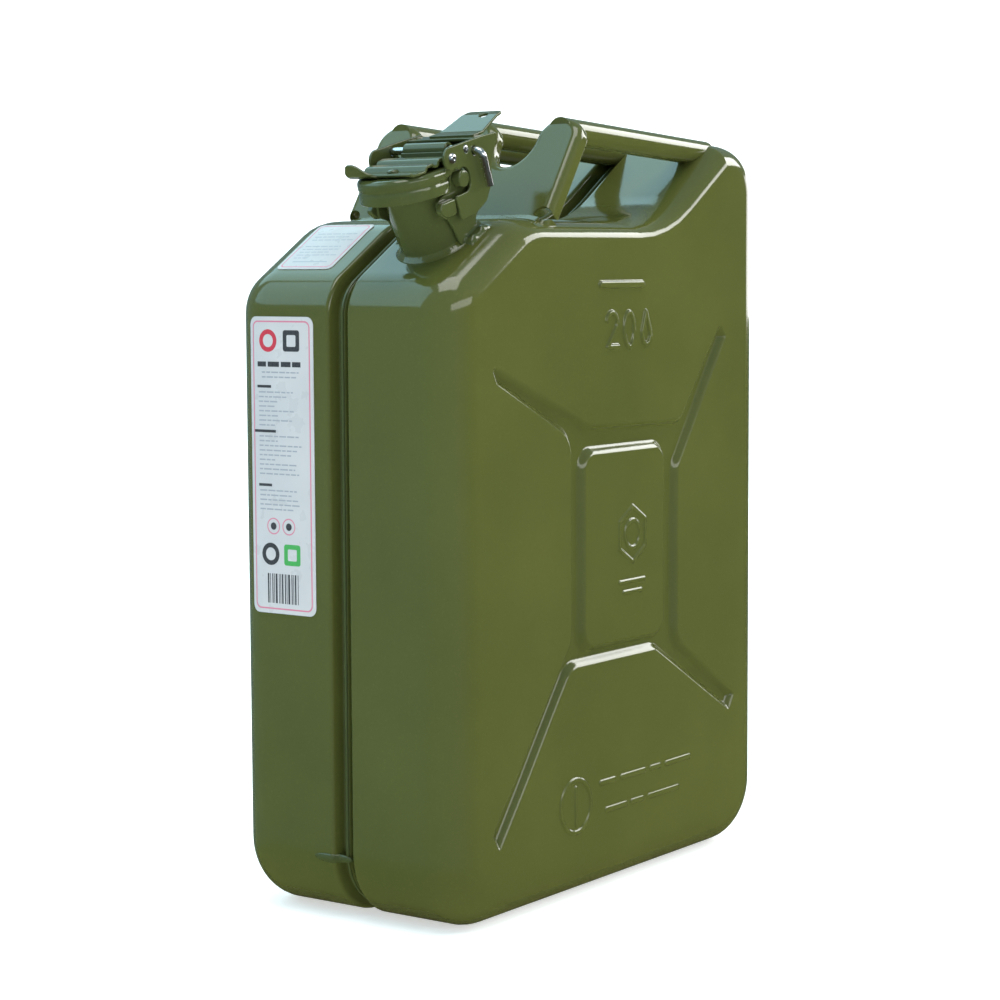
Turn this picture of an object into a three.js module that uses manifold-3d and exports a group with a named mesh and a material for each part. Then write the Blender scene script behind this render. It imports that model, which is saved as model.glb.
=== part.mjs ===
// A 20 litre steel fuel can: two pressed half shells joined by a recessed seam, a leaning filler neck
// with a hinged lid and a latch lever, and three carrying bars.
// Millimetres. X runs along the can (the neck end is -X), Y across it, Z up from the floor.
import * as THREE from "three";
import { mergeVertices } from "three/addons/utils/BufferGeometryUtils.js";
import Module from "manifold-3d";

const wasm = await Module();
wasm.setup();

// ---- Driving dimensions ----
const LENGTH = 345;
const WIDTH = 165;
const HUMP_TOP = 459; // top of the air chamber at the rear
const VALLEY = 409; // top surface under the carrying bars
const SHOULDER = 369; // height where the front face would meet the sloping shoulder
const OVERALL_HEIGHT = 471; // top of the handle bracket
const SHEET = 1; // wall of the two shells
const GAP = 0.3; // between touching pieces
const FRAME_SHIFT = 7.4; // the lid overhangs the front, so the whole is centred ahead of the body

// The body's side outline, corner by corner, anticlockwise from the bottom front.
// Each row: x, z, fillet radius, arc steps, rounding of the edge that follows towards the broad side.
const BODY_OUTLINE = [
  { x: -LENGTH / 2, z: 0, r: 42, steps: 6, edge: 25 },
  { x: LENGTH / 2, z: 0, r: 42, steps: 6, edge: 27 },
  { x: LENGTH / 2, z: HUMP_TOP, r: 36, steps: 6, edge: 16 },
  { x: 126, z: HUMP_TOP, r: 9, steps: 3, edge: 12 },
  { x: 50, z: VALLEY, r: 95, steps: 5, edge: 12 },
  { x: -108, z: VALLEY, r: 45, steps: 3, edge: 20 },
  { x: -LENGTH / 2, z: SHOULDER, r: 30, steps: 5, edge: 25 },
];
const EDGE_DEPTH = 25; // how far the rounding of the broad side's edges reaches in Y
const EDGE_STEPS = 4;
const SEAM_WIDTH = 13;
const SEAM_DEPTH = 9;
const WELD_RISE = 4; // the weld between the halves stands up from the bottom of the recess
const WELD_HALF = 1.4;
const SHOULDER_ANGLE = Math.atan2(VALLEY - SHOULDER, -108 + LENGTH / 2);

// The pressing on each broad side: a recessed cross of four arms round a raised middle panel.
const PRESS_DEPTH = 4;
const PRESS_SLOPE = 3;
const CROSS = [
  // top arm edges from the front, round the four trapezoids, clockwise seen from outside
  { x: -138, z: 328, r: 2 },
  { x: -33, z: 287, r: 14 },
  { x: 67, z: 286, r: 12 },
  { x: 116, z: 345, r: 2 },
  { x: 125, z: 336, r: 2 },
  { x: 66, z: 255, r: 12 },
  { x: 65, z: 146, r: 14 },
  { x: 137, z: 101, r: 2 },
  { x: 129, z: 89, r: 2 },
  { x: 38, z: 141, r: 12 },
  { x: -55, z: 141, r: 14 },
  { x: -130, z: 43, r: 2 },
  { x: -138, z: 56, r: 2 },
  { x: -57, z: 158, r: 12 },
  { x: -57, z: 279, r: 14 },
  { x: -131, z: 314, r: 2 },
];
const PANEL = { xMin: -40, xMax: 47, zMin: 154, zMax: 268, r: 9 };

// Filler neck: leans forward out of the near half of the shoulder.
const NECK_Y = -38.5;
const NECK_FOOT = { x: -129.3, z: 392.7 };
const NECK_LEAN = THREE.MathUtils.degToRad(28);
const NECK_R = 20;
const NECK_WALL = 1.8;
const NECK_INSIDE = 9; // how far the tube reaches below the shoulder
const BREATHER_R = 5;

// Closure. Its pieces are drawn in a frame at the latch studs, u along the lid towards the rear and
// v square to the lid, tipped up towards the rear by LID_TILT.
const STUD = { x: -138.8, z: 430.9 };
const LID_TILT = THREE.MathUtils.degToRad(14);
const STUD_R = 5;
const STUD_SHANK_R = 3;
const LID_HINGE = { u: 17.5, v: -10.5 };
const LEVER_PIVOT = { u: 6.5, v: 15.5 };
const RIVET = { u: -8.1, v: 12.9 };
const LOCK_HOLE = { u: 14, v: 13 };
const PIN_R = 2.2;
const WIRE_R = 2;
const RUNNING = 0.25; // radial clearance of pins in their holes
const EAR_IN = 20.4; // distances from the neck's own middle plane
const EAR_OUT = 22.2;
const LUG_OUT = 26.5;
const LID_IN = 23.4;
const LID_OUT = 25;
const LEVER_IN = 25.4;
const LEVER_OUT = 27.2;
const LID_TOP = 8.5;
const LID_SKIRT = -5.5;
const MOUTH = 3.5; // plane of the neck's mouth
const LID_FRONT = -47;
const LID_REAR = 13;
const STRAP_T = 1.6;
const KNUCKLE_R = 4.2;

// Handle.
const BRACKET_FOOT_X = -71.6;
const BRACKET_LEAN = THREE.MathUtils.degToRad(33.5);
const BRACKET_T = 2;
const BRACKET_FLANGE = 10;
const BRACKET_HALF = 76.5;
const BAR_SPACING = 60;
const BAR_R = 8;
const BAR_WALL = 1.2;
const BAR_FRONT_Z = 462.2;
const BAR_REAR = { x: 128, z: 453.5 };
const LOBE_R = 15;
const DIP_DEPTH = 19; // how far the dips between the lobes reach below the lobes' centres

// ---- Geometry helpers ----
function toSolid(geometry) {
  const bare = geometry.index ? geometry.toNonIndexed() : geometry.clone();
  bare.deleteAttribute("normal");
  bare.deleteAttribute("uv");
  const merged = mergeVertices(bare, 1e-4);
  const mesh = new wasm.Mesh({
    numProp: 3,
    vertProperties: merged.attributes.position.array,
    triVerts: new Uint32Array(merged.index.array),
  });
  return new wasm.Manifold(mesh);
}

function toGeometry(solid) {
  const mesh = solid.getMesh();
  const geometry = new THREE.BufferGeometry();
  geometry.setAttribute("position", new THREE.BufferAttribute(new Float32Array(mesh.vertProperties), 3));
  geometry.setIndex(new THREE.BufferAttribute(new Uint32Array(mesh.triVerts), 1));
  geometry.computeVertexNormals();
  return geometry;
}

function placed(geometry, ...steps) {
  steps.forEach((matrix) => geometry.applyMatrix4(matrix));
  return toSolid(geometry);
}

const move = (x, y, z) => new THREE.Matrix4().makeTranslation(x, y, z);
const turnX = (angle) => new THREE.Matrix4().makeRotationX(angle);
const turnY = (angle) => new THREE.Matrix4().makeRotationY(angle);

// Points of a closed outline with filleted corners. insets moves each edge inwards by its own amount.
function filleted(corners, insets) {
  const n = corners.length;
  const turned = corners.map((c, i) => {
    const a = corners[(i + n - 1) % n];
    const b = corners[(i + 1) % n];
    return (c.x - a.x) * (b.z - c.z) - (c.z - a.z) * (b.x - c.x);
  });
  const lines = corners.map((c, i) => {
    const b = corners[(i + 1) % n];
    const direction = new THREE.Vector2(b.x - c.x, b.z - c.z).normalize();
    const inward = new THREE.Vector2(-direction.y, direction.x);
    return { direction, point: new THREE.Vector2(c.x, c.z).addScaledVector(inward, insets[i]) };
  });
  return corners.flatMap((c, i) => {
    const before = lines[(i + n - 1) % n];
    const after = lines[i];
    const cross = before.direction.cross(after.direction);
    const between = after.point.clone().sub(before.point);
    const along = between.cross(after.direction) / cross;
    const corner = before.point.clone().addScaledVector(before.direction, along);
    const inset = (insets[(i + n - 1) % n] + insets[i]) / 2;
    const radius = Math.max(0.5, c.r - inset * Math.sign(turned[i]));
    const half = Math.acos(THREE.MathUtils.clamp(before.direction.dot(after.direction), -1, 1)) / 2;
    const tangent = radius * Math.tan(half);
    const start = corner.clone().addScaledVector(before.direction, -tangent);
    const side = Math.sign(cross);
    const towardsCentre = new THREE.Vector2(-before.direction.y, before.direction.x).multiplyScalar(side);
    const centre = start.clone().addScaledVector(towardsCentre, radius);
    const spoke = start.sub(centre);
    const steps = c.steps ?? 3;
    return Array.from({ length: steps + 1 }, (_, k) =>
      centre.clone().add(spoke.clone().rotateAround(new THREE.Vector2(), (side * 2 * half * k) / steps)),
    );
  });
}

// A solid through closed loops of equal length, each { points: [Vector2 of x, z], y }.
function loft(loops) {
  const count = loops[0].points.length;
  const vertices = loops.flatMap(({ points, y }) => points.flatMap((p) => [p.x, y, p.y]));
  const faces = [];
  for (let row = 0; row + 1 < loops.length; row++)
    for (let i = 0; i < count; i++) {
      const a = row * count + i;
      const b = row * count + ((i + 1) % count);
      faces.push(a, b, b + count, a, b + count, a + count);
    }
  const last = (loops.length - 1) * count;
  const { triangulateShape } = THREE.ShapeUtils;
  for (const [a, b, c] of triangulateShape(loops[0].points, [])) faces.push(a, c, b);
  const cap = triangulateShape(loops.at(-1).points, []);
  for (const [a, b, c] of cap) faces.push(last + a, last + b, last + c);
  if (loops[0].y < loops.at(-1).y) faces.reverse();
  const geometry = new THREE.BufferGeometry();
  geometry.setAttribute("position", new THREE.Float32BufferAttribute(vertices, 3));
  geometry.setIndex(faces);
  return geometry;
}

const shapeOf = (points) => new THREE.Shape(points);

// A flat plate: outline in X and Z, from y0 to y1.
function plateXZ(points, y0, y1) {
  const geometry = new THREE.ExtrudeGeometry(shapeOf(points), { depth: y1 - y0, bevelEnabled: false });
  return placed(geometry, turnX(Math.PI / 2), move(0, y1, 0));
}

function rodY(radius, y0, y1, x, z, sides = 20) {
  return placed(new THREE.CylinderGeometry(radius, radius, y1 - y0, sides), move(x, (y0 + y1) / 2, z));
}

function boxBetween(x0, x1, y0, y1, z0, z1) {
  const middle = move((x0 + x1) / 2, (y0 + y1) / 2, (z0 + z1) / 2);
  return placed(new THREE.BoxGeometry(x1 - x0, y1 - y0, z1 - z0), middle);
}

const join = (...solids) => solids.reduce((sum, solid) => sum.add(solid));
const cut = (solid, ...others) => others.reduce((rest, other) => rest.subtract(other), solid);
const largest = (solid) => solid.decompose().sort((a, b) => b.volume() - a.volume())[0];

function mirrored(solid) {
  // the same piece on the other side of y = 0
  const geometry = toGeometry(solid).toNonIndexed();
  const p = geometry.attributes.position;
  const flipped = new Float32Array(p.array.length);
  for (let i = 0; i < p.count; i += 3)
    [0, 2, 1].forEach((from, to) => {
      flipped.set([p.getX(i + from), -p.getY(i + from), p.getZ(i + from)], (i + to) * 3);
    });
  const mirrored = new THREE.BufferGeometry();
  return toSolid(mirrored.setAttribute("position", new THREE.BufferAttribute(flipped, 3)));
}

// ---- Materials ----
const enamel = { color: 0x55602f, roughness: 0.25, metalness: 0.1 };
const darkEnamel = { color: 0x4c5a38, roughness: 0.3, metalness: 0.1 };
const zinc = { color: 0xb9bcc0, roughness: 0.3, metalness: 0.9 };
const rubber = { color: 0x1c1c1c, roughness: 0.8, metalness: 0 };
const paper = { color: 0xe9e8ee, roughness: 0.4, metalness: 0 };

const can = new THREE.Group();
can.position.x = FRAME_SHIFT;

function addMesh(group, name, solid, finish) {
  const mesh = new THREE.Mesh(toGeometry(solid), new THREE.MeshStandardMaterial(finish));
  mesh.name = name;
  group.add(mesh);
}

// ---- Body ----
const level = (amount) => BODY_OUTLINE.map(() => amount);

// Rounded loops of one half of the body, from its broad face to the foot of the rounding.
function roundedLoops(offset) {
  return Array.from({ length: EDGE_STEPS + 1 }, (_, k) => {
    const angle = (Math.PI / 2) * (1 - k / EDGE_STEPS);
    const insets = BODY_OUTLINE.map(({ edge }) => offset + (edge - offset) * (1 - Math.cos(angle)));
    const y = -(WIDTH / 2 - EDGE_DEPTH + (EDGE_DEPTH - offset) * Math.sin(angle));
    return { points: filleted(BODY_OUTLINE, insets), y };
  });
}

// The recess of one broad side, grown by the sheet's thickness for the inside of the shell.
function pressing(grow) {
  const cross = [...CROSS].reverse();
  const panel = [
    { x: PANEL.xMin, z: PANEL.zMin, r: PANEL.r },
    { x: PANEL.xMax, z: PANEL.zMin, r: PANEL.r },
    { x: PANEL.xMax, z: PANEL.zMax, r: PANEL.r },
    { x: PANEL.xMin, z: PANEL.zMax, r: PANEL.r },
  ];
  const face = -WIDTH / 2;
  const floor = face + PRESS_DEPTH + grow;
  const recess = (corners, side) => {
    const mouth = filleted(corners, corners.map(() => -side * grow));
    const foot = filleted(corners, corners.map(() => side * (PRESS_SLOPE - grow)));
    return toSolid(
      loft([
        { points: mouth, y: face - 8 },
        { points: mouth, y: face },
        { points: foot, y: floor + (side < 0 ? 1 : 0) },
      ]),
    );
  };
  return cut(recess(cross, 1), recess(panel, -1));
}

function halfShell() {
  const seamY = -SEAM_WIDTH / 2;
  const outer = toSolid(
    loft([
      ...roundedLoops(0),
      { points: filleted(BODY_OUTLINE, level(0)), y: seamY },
      { points: filleted(BODY_OUTLINE, level(SEAM_DEPTH)), y: seamY + GAP },
      { points: filleted(BODY_OUTLINE, level(SEAM_DEPTH)), y: -GAP / 2 },
    ]),
  );
  const inner = toSolid(
    loft([
      ...roundedLoops(SHEET),
      { points: filleted(BODY_OUTLINE, level(SHEET)), y: seamY - SHEET },
      { points: filleted(BODY_OUTLINE, level(SEAM_DEPTH + SHEET)), y: seamY - SHEET + GAP },
      { points: filleted(BODY_OUTLINE, level(SEAM_DEPTH + SHEET)), y: 1 },
    ]),
  );
  return cut(cut(outer, pressing(0)), cut(inner, pressing(SHEET)));
}

// The outside of the whole body, grown by a clearance, to trim what stands on it.
function bodyBlock(grow) {
  const near = roundedLoops(-grow);
  const far = near.map(({ points, y }) => ({ points, y: -y })).reverse();
  return toSolid(loft([...near, ...far]));
}

function seamWeld() {
  const ring = (inset, reach) => {
    const points = filleted(BODY_OUTLINE, level(inset));
    return toSolid(loft([-reach, reach].map((y) => ({ points, y }))));
  };
  return cut(ring(SEAM_DEPTH - WELD_RISE, WELD_HALF), ring(SEAM_DEPTH - GAP, WELD_HALF + 1));
}

// ---- Neck ----
// Its own frame: origin where the axis meets the shoulder, local z along the neck.
const neckFrame = [turnY(-NECK_LEAN), move(NECK_FOOT.x, NECK_Y, NECK_FOOT.z)];

function latheAlongNeck(profile, sides = 32) {
  const outline = profile.map(([r, h]) => new THREE.Vector2(r, h));
  const geometry = new THREE.LatheGeometry([...outline, outline[0]], sides);
  return placed(geometry, turnX(Math.PI / 2), ...neckFrame);
}

const closureFrame = [turnY(-LID_TILT), move(STUD.x, NECK_Y, STUD.z)];

// Takes a solid drawn in the closure frame (u as x, v as z, y from the neck's middle) to its place.
function inClosure(solid) {
  return placed(toGeometry(solid).toNonIndexed(), ...closureFrame);
}

const aboveMouth = inClosure(boxBetween(-80, 80, -60, 60, MOUTH, 80));

function neck() {
  const inner = NECK_R - NECK_WALL;
  const tube = latheAlongNeck([
    [inner, -NECK_INSIDE],
    [NECK_R, -NECK_INSIDE],
    [NECK_R, 70],
    [inner, 70],
  ]);
  return cut(tube, aboveMouth);
}

const neckHole = latheAlongNeck([
  [0, -30],
  [NECK_R + GAP, -30],
  [NECK_R + GAP, 90],
  [0, 90],
]);

const bodyClear = bodyBlock(GAP);

// The bead round the foot of the neck stops at the two ears, so it is a front and a rear run.
function neckWeld(front) {
  const ring = latheAlongNeck([
    [NECK_R + GAP, -8],
    [NECK_R + 5, -8],
    [NECK_R + 4.2, 1.5],
    [NECK_R + 1.6, 4.5],
    [NECK_R + GAP, 5],
  ]);
  const reach = EAR_IN - GAP;
  const [from, to] = front ? [-60, 0] : [0, 60];
  const ends = [NECK_FOOT.x + from, NECK_FOOT.x + to];
  const between = boxBetween(...ends, NECK_Y - reach, NECK_Y + reach, 350, 450);
  return largest(cut(ring, bodyClear).intersect(between));
}

function breatherPipe() {
  const path = new THREE.CatmullRomCurve3([
    new THREE.Vector3(-115.5, NECK_Y, 395),
    new THREE.Vector3(-105, NECK_Y, 389),
    new THREE.Vector3(-80, NECK_Y, 392),
    new THREE.Vector3(20, NECK_Y, 396),
    new THREE.Vector3(95, NECK_Y, 424),
  ]);
  const section = new THREE.Shape().absarc(0, 0, BREATHER_R, 0, 2 * Math.PI);
  section.holes.push(new THREE.Path().absarc(0, 0, BREATHER_R - 1, 0, 2 * Math.PI, true));
  const geometry = new THREE.ExtrudeGeometry(section, { steps: 16, extrudePath: path, curveSegments: 6 });
  return cut(toSolid(geometry), neckHole);
}

// ---- Fixed parts of the closure ----
const disc = (x, z, r, steps = 16) =>
  Array.from({ length: steps }, (_, k) => {
    const angle = (2 * Math.PI * k) / steps;
    return new THREE.Vector2(x + r * Math.cos(angle), z + r * Math.sin(angle));
  });

const polygon = (...pairs) => pairs.map(([x, z]) => new THREE.Vector2(x, z));

// Outline of an ear in the closure frame: from the stud down the front, over the foot and up past
// the lid's hinge.
const EAR_OUTLINE = [
  [-6, 0],
  [-21, -9],
  [-21, -17],
  [-13, -21],
  [-9, -27],
  [-2, -44],
  [17, -44],
  [14, -33],
  [9, -27],
  [21, -16],
  [22.5, -10],
  [19, -5.5],
  [4, 4],
];

function ear() {
  const plate = join(
    plateXZ(disc(0, 0, 6), -EAR_OUT, -EAR_IN),
    plateXZ(disc(LID_HINGE.u, LID_HINGE.v, 5.2), -EAR_OUT, -EAR_IN),
    plateXZ(polygon(...EAR_OUTLINE), -EAR_OUT, -EAR_IN),
  );
  const foot = boxBetween(-1, 17, -27.4, -EAR_IN, -44, -26.5);
  const footTop = boxBetween(-3, 30, -40, -EAR_OUT, -26, 10);
  const holes = [
    rodY(STUD_SHANK_R + RUNNING, -30, -15, 0, 0),
    rodY(PIN_R + RUNNING, -30, -15, LID_HINGE.u, LID_HINGE.v),
  ];
  return cut(join(plate, cut(foot, footTop)), ...holes);
}

// Only a thin foot stays on the shoulder: the rest of the block under it is cut by the grown body.
function earInPlace(side) {
  const one = side < 0 ? ear() : mirrored(ear());
  const lowered = bodyBlock(GAP);
  const whole = cut(inClosure(one), lowered);
  const skin = bodyBlock(GAP + 2.2);
  const outboard = side < 0 ? [-40, -EAR_OUT] : [EAR_OUT, 40];
  const across = [NECK_Y + outboard[0], NECK_Y + outboard[1]];
  const footZone = boxBetween(STUD.x - 10, STUD.x + 45, ...across, 350, 425);
  return largest(cut(whole, cut(footZone, skin)));
}

function stud(side) {
  const boss = join(
    rodY(STUD_R, EAR_OUT + GAP, LEVER_OUT + 0.8, 0, 0, 24),
    rodY(STUD_SHANK_R, EAR_IN, EAR_OUT + 1, 0, 0),
  );
  return inClosure(side < 0 ? mirrored(boss) : boss);
}

function neckLug(side) {
  const outline = polygon([-24, -15], [-20, -11], [-9.5, -10.5], [-9.5, -19], [-17, -19]);
  const wedge = plateXZ(outline, EAR_OUT + GAP, LUG_OUT);
  return inClosure(side < 0 ? mirrored(wedge) : wedge);
}

function hingePin() {
  return inClosure(rodY(PIN_R, -LID_OUT, LID_OUT, LID_HINGE.u, LID_HINGE.v));
}

// ---- Lid ----
// Plan of the lid: straight sides, a round front and a square rear.
function lidPlan(half, front, rear) {
  const round = Array.from({ length: 13 }, (_, k) => {
    const angle = Math.PI / 2 + (Math.PI * k) / 12;
    return new THREE.Vector2(front + half + half * Math.cos(angle), half * Math.sin(angle));
  });
  return [...round, new THREE.Vector2(rear, -half), new THREE.Vector2(rear, half)];
}

function plateUV(points, v0, v1) {
  const geometry = new THREE.ExtrudeGeometry(shapeOf(points), { depth: v1 - v0, bevelEnabled: false });
  return placed(geometry, move(0, 0, v0));
}

// Outline of a lid arm, from the skirt over the neck's ear down to the hinge.
const LID_ARM_OUTLINE = [
  [-12, 4],
  [-7.5, 5],
  [-4, 6.4],
  [3, 6.6],
  [7.5, 3.5],
  [12.4, -9.5],
  [22.6, -11.5],
  [22, -4],
  [11.5, 10.5],
  [6, 12],
  [-9, 12],
  [-12, 9],
];

function lidArm(side) {
  const plate = join(
    plateXZ(disc(LID_HINGE.u, LID_HINGE.v, 5.2), LID_IN, LID_OUT),
    plateXZ(polygon(...LID_ARM_OUTLINE), LID_IN, LID_OUT),
  );
  const drilled = cut(plate, rodY(PIN_R + RUNNING, 15, 30, LID_HINGE.u, LID_HINGE.v));
  return side < 0 ? mirrored(drilled) : drilled;
}

function cap() {
  const outer = plateUV(lidPlan(LID_OUT, LID_FRONT, LID_REAR), LID_SKIRT, LID_TOP);
  const innerPlan = lidPlan(LID_IN, LID_FRONT + LID_OUT - LID_IN, LID_REAR + 9);
  const inner = plateUV(innerPlan, LID_SKIRT - 5, LID_TOP - 1.5);
  const openRear = boxBetween(-11.5, 40, -40, 40, -30, LID_TOP - 1.5);
  return inClosure(join(cut(outer, inner, openRear), lidArm(1), lidArm(-1)));
}

const mouthCentreU = -10.7;

function gasket() {
  const profile = [
    [15.5, MOUTH + GAP],
    [21, MOUTH + GAP],
    [21, LID_TOP - 1.5 - GAP],
    [15.5, LID_TOP - 1.5 - GAP],
  ].map(([r, h]) => new THREE.Vector2(r, h));
  const ring = new THREE.LatheGeometry([...profile, profile[0]], 28);
  return inClosure(placed(ring, turnX(Math.PI / 2), move(mouthCentreU, 0, 0)));
}

const strapV = LID_TOP + GAP;

function capStrap() {
  const half = 22;
  const sheet = plateXZ(
    polygon(
      [-34, strapV],
      [LEVER_PIVOT.u - 3, strapV],
      [LEVER_PIVOT.u - 3, strapV + 3],
      [-12, strapV + 3.2],
      [-14, strapV + 4.4],
      [-20, strapV + 4.4],
      [-22, strapV + STRAP_T],
      [-34, strapV + STRAP_T],
    ),
    -half,
    half,
  );
  const narrowed = [-1, 1].map((side) =>
    placed(new THREE.BoxGeometry(20, 12, 40), move(LEVER_PIVOT.u + 1, side * 21.5, strapV + 10)),
  );
  const knuckle = rodY(KNUCKLE_R, -15, 15, LEVER_PIVOT.u, LEVER_PIVOT.v, 18);
  const { u, v } = LEVER_PIVOT;
  const web = plateXZ(polygon([u - 4, strapV], [u + 2, strapV + 1], [u + 2, v], [u - 4, v]), -15, 15);
  const lip = plateXZ(
    polygon(
      [-33, strapV],
      [-38, strapV + 1.5],
      [-41, strapV + 6],
      [-39.6, strapV + 6.8],
      [-37, strapV + 3],
      [-33, strapV + STRAP_T],
    ),
    6,
    half,
  );
  const bore = rodY(PIN_R + GAP, -30, 30, LEVER_PIVOT.u, LEVER_PIVOT.v);
  return inClosure(cut(join(cut(sheet, ...narrowed), knuckle, web, lip), bore));
}

function strapRivet() {
  const profile = [
    [0, 0],
    [3.4, 0],
    [2.8, 1],
    [0, 1.5],
  ].map(([r, h]) => new THREE.Vector2(r, h));
  const dome = placed(
    new THREE.LatheGeometry([...profile], 14),
    turnX(Math.PI / 2),
    move(-28, 0, strapV + STRAP_T + GAP),
  );
  return inClosure(dome);
}

function leverPivotPin() {
  return inClosure(rodY(PIN_R, -LEVER_OUT, LEVER_OUT, LEVER_PIVOT.u, LEVER_PIVOT.v));
}

// ---- Latch lever ----
function leverCheek() {
  const lobe = plateXZ(disc(RIVET.u, RIVET.v, 6.5, 20), LEVER_IN, LEVER_OUT);
  const plate = plateXZ(
    polygon(
      [RIVET.u, RIVET.v + 6.5],
      [RIVET.u - 1, RIVET.v - 6.3],
      [-2, 7],
      [0, -8],
      [-9, -9.5],
      [-6, -22],
      [5.9, -21.7],
      [18.4, -17.1],
      [26.5, -7.4],
      [28, 2],
      [39, 18.6],
      [20, 19.3],
    ),
    LEVER_IN,
    LEVER_OUT,
  );
  const slotEnd = new THREE.Vector2(-26, -8);
  const notch = join(
    rodY(STUD_R + 1, 20, 30, 0, 0, 24),
    placed(
      new THREE.BoxGeometry(26, 20, 2 * (STUD_R + 1)),
      move(-13, 25, 0),
      turnY(Math.atan2(slotEnd.y, -slotEnd.x)),
    ),
  );
  const holes = [
    rodY(PIN_R + RUNNING, 20, 30, LEVER_PIVOT.u, LEVER_PIVOT.v),
    rodY(WIRE_R + RUNNING, 20, 30, LOCK_HOLE.u, LOCK_HOLE.v),
    rodY(1.5 + RUNNING, 20, 30, RIVET.u, RIVET.v),
  ];
  return cut(join(lobe, plate), notch, ...holes);
}

function lever() {
  const far = leverCheek();
  const near = mirrored(far);
  const top = plateXZ(polygon([22, 17.6], [39.3, 16.9], [39.3, 18.7], [22, 19.3]), -LEVER_OUT, LEVER_OUT);
  const rearOutline = polygon([39.3, 18.6], [37.3, 18.6], [26.4, 1.9], [28, 1.5]);
  const rear = plateXZ(rearOutline, -LEVER_OUT, LEVER_OUT);
  const tabSide = plateXZ(
    polygon([37.5, 16.9], [39.3, 16.9], [56.5, 23.6], [61.5, 23.6],
      [61.5, 25.4], [55.5, 25.4], [37.5, 18.7]),
    -16,
    16,
  );
  const punch = new THREE.CylinderGeometry(2.6, 2.6, 30, 16);
  const tabHole = placed(punch, turnX(Math.PI / 2), move(55, 0, 24));
  return inClosure(join(far, near, top, rear, cut(tabSide, tabHole)));
}

function leverRivet(side) {
  const body = join(
    rodY(1.5, LEVER_IN, LEVER_OUT + 1, RIVET.u, RIVET.v, 14),
    rodY(3, LEVER_OUT + GAP, LEVER_OUT + 1.6, RIVET.u, RIVET.v, 14),
  );
  return inClosure(side < 0 ? mirrored(body) : body);
}

function lockingPin() {
  // a bent zinc wire through the near cheek
  const path = new THREE.CurvePath();
  const inner = new THREE.Vector3(LOCK_HOLE.u, -12, LOCK_HOLE.v);
  const outer = new THREE.Vector3(LOCK_HOLE.u, -29, LOCK_HOLE.v);
  const bend = new THREE.Vector3(LOCK_HOLE.u + 0.5, -32.6, LOCK_HOLE.v - 0.3);
  const down = new THREE.Vector3(LOCK_HOLE.u + 3.5, -32.6, LOCK_HOLE.v - 5);
  const tip = new THREE.Vector3(LOCK_HOLE.u + 12, -32.6, LOCK_HOLE.v - 20);
  path.add(new THREE.LineCurve3(inner, outer));
  path.add(new THREE.QuadraticBezierCurve3(outer, bend, down));
  path.add(new THREE.LineCurve3(down, tip));
  const section = new THREE.Shape().absarc(0, 0, WIRE_R, 0, 2 * Math.PI);
  const geometry = new THREE.ExtrudeGeometry(section, { steps: 28, extrudePath: path, curveSegments: 6 });
  return inClosure(toSolid(geometry));
}

// ---- Handle ----
const bracketFrame = [turnY(BRACKET_LEAN), move(BRACKET_FOOT_X, 0, VALLEY)];
const bracketTop = (OVERALL_HEIGHT - VALLEY) / Math.cos(BRACKET_LEAN);

// Stands a drawn outline up across the can: its first axis along Y, its second up, its depth towards
// the rear.
const standing = new THREE.Matrix4().makeBasis(
  new THREE.Vector3(0, 1, 0),
  new THREE.Vector3(0, 0, 1),
  new THREE.Vector3(1, 0, 0),
);

// Outline of the lobed plate, y across and w up the plate, drawn inset for the space inside its flange.
function bracketOutline(inset, foot) {
  const lobeCentre = bracketTop - LOBE_R;
  const lobes = [-BAR_SPACING, 0, BAR_SPACING];
  const points = [new THREE.Vector2(-(BRACKET_HALF - inset), foot)];
  lobes.forEach((y, index) => {
    const first = index === 0;
    const last = index === lobes.length - 1;
    const outward = first || last ? BRACKET_HALF - BAR_SPACING : LOBE_R;
    for (let k = 0; k <= 8; k++) {
      const angle = Math.PI * (1 - k / 8);
      const c = Math.cos(angle);
      const outerSide = (first && c < 0) || (last && c > 0);
      const radius = (outerSide ? outward : LOBE_R) - inset;
      const up = lobeCentre + (LOBE_R - inset) * Math.sin(angle);
      points.push(new THREE.Vector2(y + radius * c, up));
    }
    if (!last) {
      const dip = BAR_SPACING / 2 - LOBE_R + inset;
      for (let k = 1; k < 8; k++) {
        const angle = Math.PI * (1 + k / 8);
        const depth = DIP_DEPTH + inset;
        const across = y + BAR_SPACING / 2 + dip * Math.cos(angle);
        points.push(new THREE.Vector2(across, lobeCentre + depth * Math.sin(angle)));
      }
    }
  });
  points.push(new THREE.Vector2(BRACKET_HALF - inset, foot));
  return points;
}

function bracketBlock(inset, foot, from, to) {
  const depth = to - from;
  const outline = shapeOf(bracketOutline(inset, foot));
  const geometry = new THREE.ExtrudeGeometry(outline, { depth, bevelEnabled: false });
  return placed(geometry, standing, move(from, 0, 0), ...bracketFrame);
}

// A carrying bar's round rod, from the back of the bracket's plate.
function barRod(y, grow) {
  const frontX = BRACKET_FOOT_X + (BAR_FRONT_Z - VALLEY) * Math.tan(BRACKET_LEAN);
  const slope = Math.atan2(BAR_FRONT_Z - BAR_REAR.z, BAR_REAR.x - frontX);
  const length = 200;
  const rod = placed(
    new THREE.CylinderGeometry(BAR_R + grow, BAR_R + grow, length, 18),
    new THREE.Matrix4().makeRotationZ(-Math.PI / 2),
    move(length / 2, 0, 0),
    turnY(slope),
    move(frontX, y, BAR_FRONT_Z),
  );
  const thickness = BRACKET_T + (grow === 0 ? GAP : 0);
  const ahead = placed(new THREE.BoxGeometry(60, 400, 300), move(thickness - 30, 0, 0), ...bracketFrame);
  return cut(rod, ahead);
}

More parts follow.
